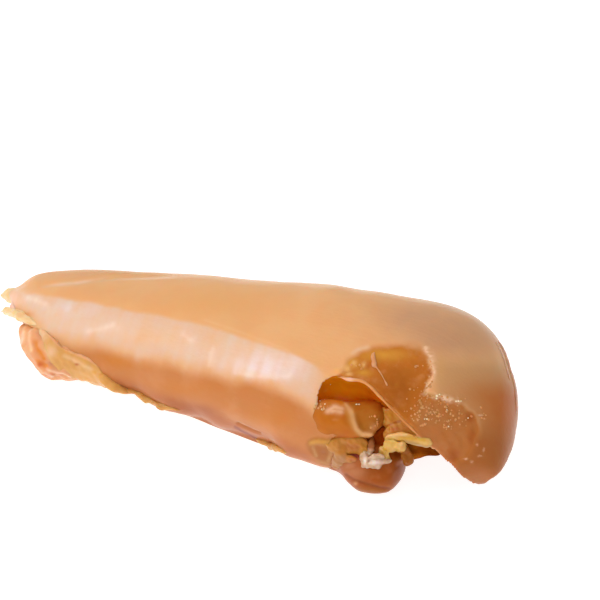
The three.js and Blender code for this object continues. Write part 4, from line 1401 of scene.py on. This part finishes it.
def ball_rings(centre, radius, facing):
    """Rings of a ball pressed flat along `facing` to half of its height: a half circle turned about that
    line."""
    side = np.cross(facing, (0.3, 0.5, 0.8))
    side /= np.linalg.norm(side)
    other = np.cross(facing, side)
    tilt = np.pi * np.linspace(0, 1, BEAD_RINGS + 2)[:, None, None]
    turn = 2 * np.pi * np.arange(BEAD_SIDES)[None, :, None] / BEAD_SIDES
    flat = np.sin(tilt) * (np.cos(turn) * side + np.sin(turn) * other)
    return centre + radius * (flat + 0.5 * np.cos(tilt) * facing)


draw = np.random.default_rng(200)
spots = [(c + a * draw.normal() / BEAD_SPREAD, r + b * draw.normal() / BEAD_SPREAD,
          draw.uniform(*BEAD_RADII) ** BEAD_POWER)
         for c, r, a, b, count in BEAD_POOLS for _ in range(count)]
rim_row = np.interp([c for c, _, _ in spots], *np.array(RIM_LINE)[4:].T)
spots = [spot for spot, rim_at in zip(spots, rim_row) if spot[0] < RIM_START or spot[1] < rim_at - RIM_CLEAR]
dull_count = len(spots)
spots += BRIGHT_BEADS
places, facings = hits_on(skin_trees, [spot[:2] for spot in spots])
beads = new_piece("juice_beads", [skin_of(ball_rings(place, spot[2], facing))
                                  for spot, place, facing in zip(spots, places, facings)])
beads.data.shade_smooth()
# bright: a painted highlight, the beads that stand for glints are painted nearly white
paint(beads, bright=np.arange(len(beads.data.vertices)) >= dull_count * (BEAD_RINGS * BEAD_SIDES + 2))
juice = tissue("meat_juice", ("#dc9c64", "#cc8648"), [("bright", "#ffe6c0", 3, 0.0)], blotch=3, scatter=0.5,
               roughness=0.5, wet=0.2, wet_roughness=0.3, pores=0)
settle(beads, juice, "tissue")
print(len(spots), "beads")

# %% [markdown]
# ## Floor and light
#
# The breast lies on a white board in a bright room. The board glows a little, so that it stays as white as
# paper under soft light. A large diffuser hangs overhead, a smaller panel on the left draws the sheen on the
# pale band, and a weak fill beside the camera looks into the pocket.

# %% The floor
FLOOR = 2.5      # m, half of its side
WHITE = (1, 1, 1, 1)
BOARD = {"Base Color": (0.45, 0.45, 0.45, 1), "Roughness": 0.7, "Specular IOR Level": 0.1,
         "Emission Color": WHITE, "Emission Strength": 0.85}
floor_mesh = bpy.data.meshes.new("floor")
floor_mesh.from_pydata([(-FLOOR, -FLOOR, 0), (FLOOR, -FLOOR, 0), (FLOOR, FLOOR, 0), (-FLOOR, FLOOR, 0)], [],
                       [(0, 1, 2, 3)])
floor = bpy.data.objects.new("floor", floor_mesh)
bpy.context.scene.collection.objects.link(floor)
white_board = bpy.data.materials.new("white_board")
white_board.use_nodes = True
for socket, value in BOARD.items():
    white_board.node_tree.nodes["Principled BSDF"].inputs[socket].default_value = value
floor.data.materials.append(white_board)
floor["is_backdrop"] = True

# %% Light
ROOM_LIGHT = 0.42
world = bpy.data.worlds.new("studio")
world.use_nodes = True
world.node_tree.nodes["Background"].inputs["Color"].default_value = WHITE
world.node_tree.nodes["Background"].inputs["Strength"].default_value = ROOM_LIGHT
bpy.context.scene.world = world


def soft_light(name, way, away, size, watts, glossy):
    """A diffuser of `size` metres, `away` metres from the breast in the direction `way`, facing it."""
    light = bpy.data.objects.new(name, bpy.data.lights.new(name, "AREA"))
    light.data.shape = "RECTANGLE"
    light.data.size, light.data.size_y = size
    light.data.energy = watts
    way = Vector(way).normalized()
    light.location = way * away
    light.rotation_euler = way.to_track_quat("Z", "Y").to_euler()
    light.visible_glossy = glossy
    bpy.context.scene.collection.objects.link(light)


soft_light("overhead_diffuser", (-0.25, 0.1, 0.95), away=1.1, size=(0.9, 0.7), watts=5.4, glossy=False)
soft_light("window_panel", (-0.66, -0.44, 0.60), away=1.1, size=(0.55, 0.45), watts=2.6, glossy=True)
soft_light("camera_fill", (0.15, -0.85, 0.5), away=0.9, size=(0.5, 0.4), watts=2.2, glossy=False)

bpy.context.scene.view_settings.view_transform = "Standard"
bpy.context.scene.view_settings.look = "None"

# %% Print the sizes and finish
low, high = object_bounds()
print("visual box in mm:", [round(side * 1000, 1) for side in high - low])
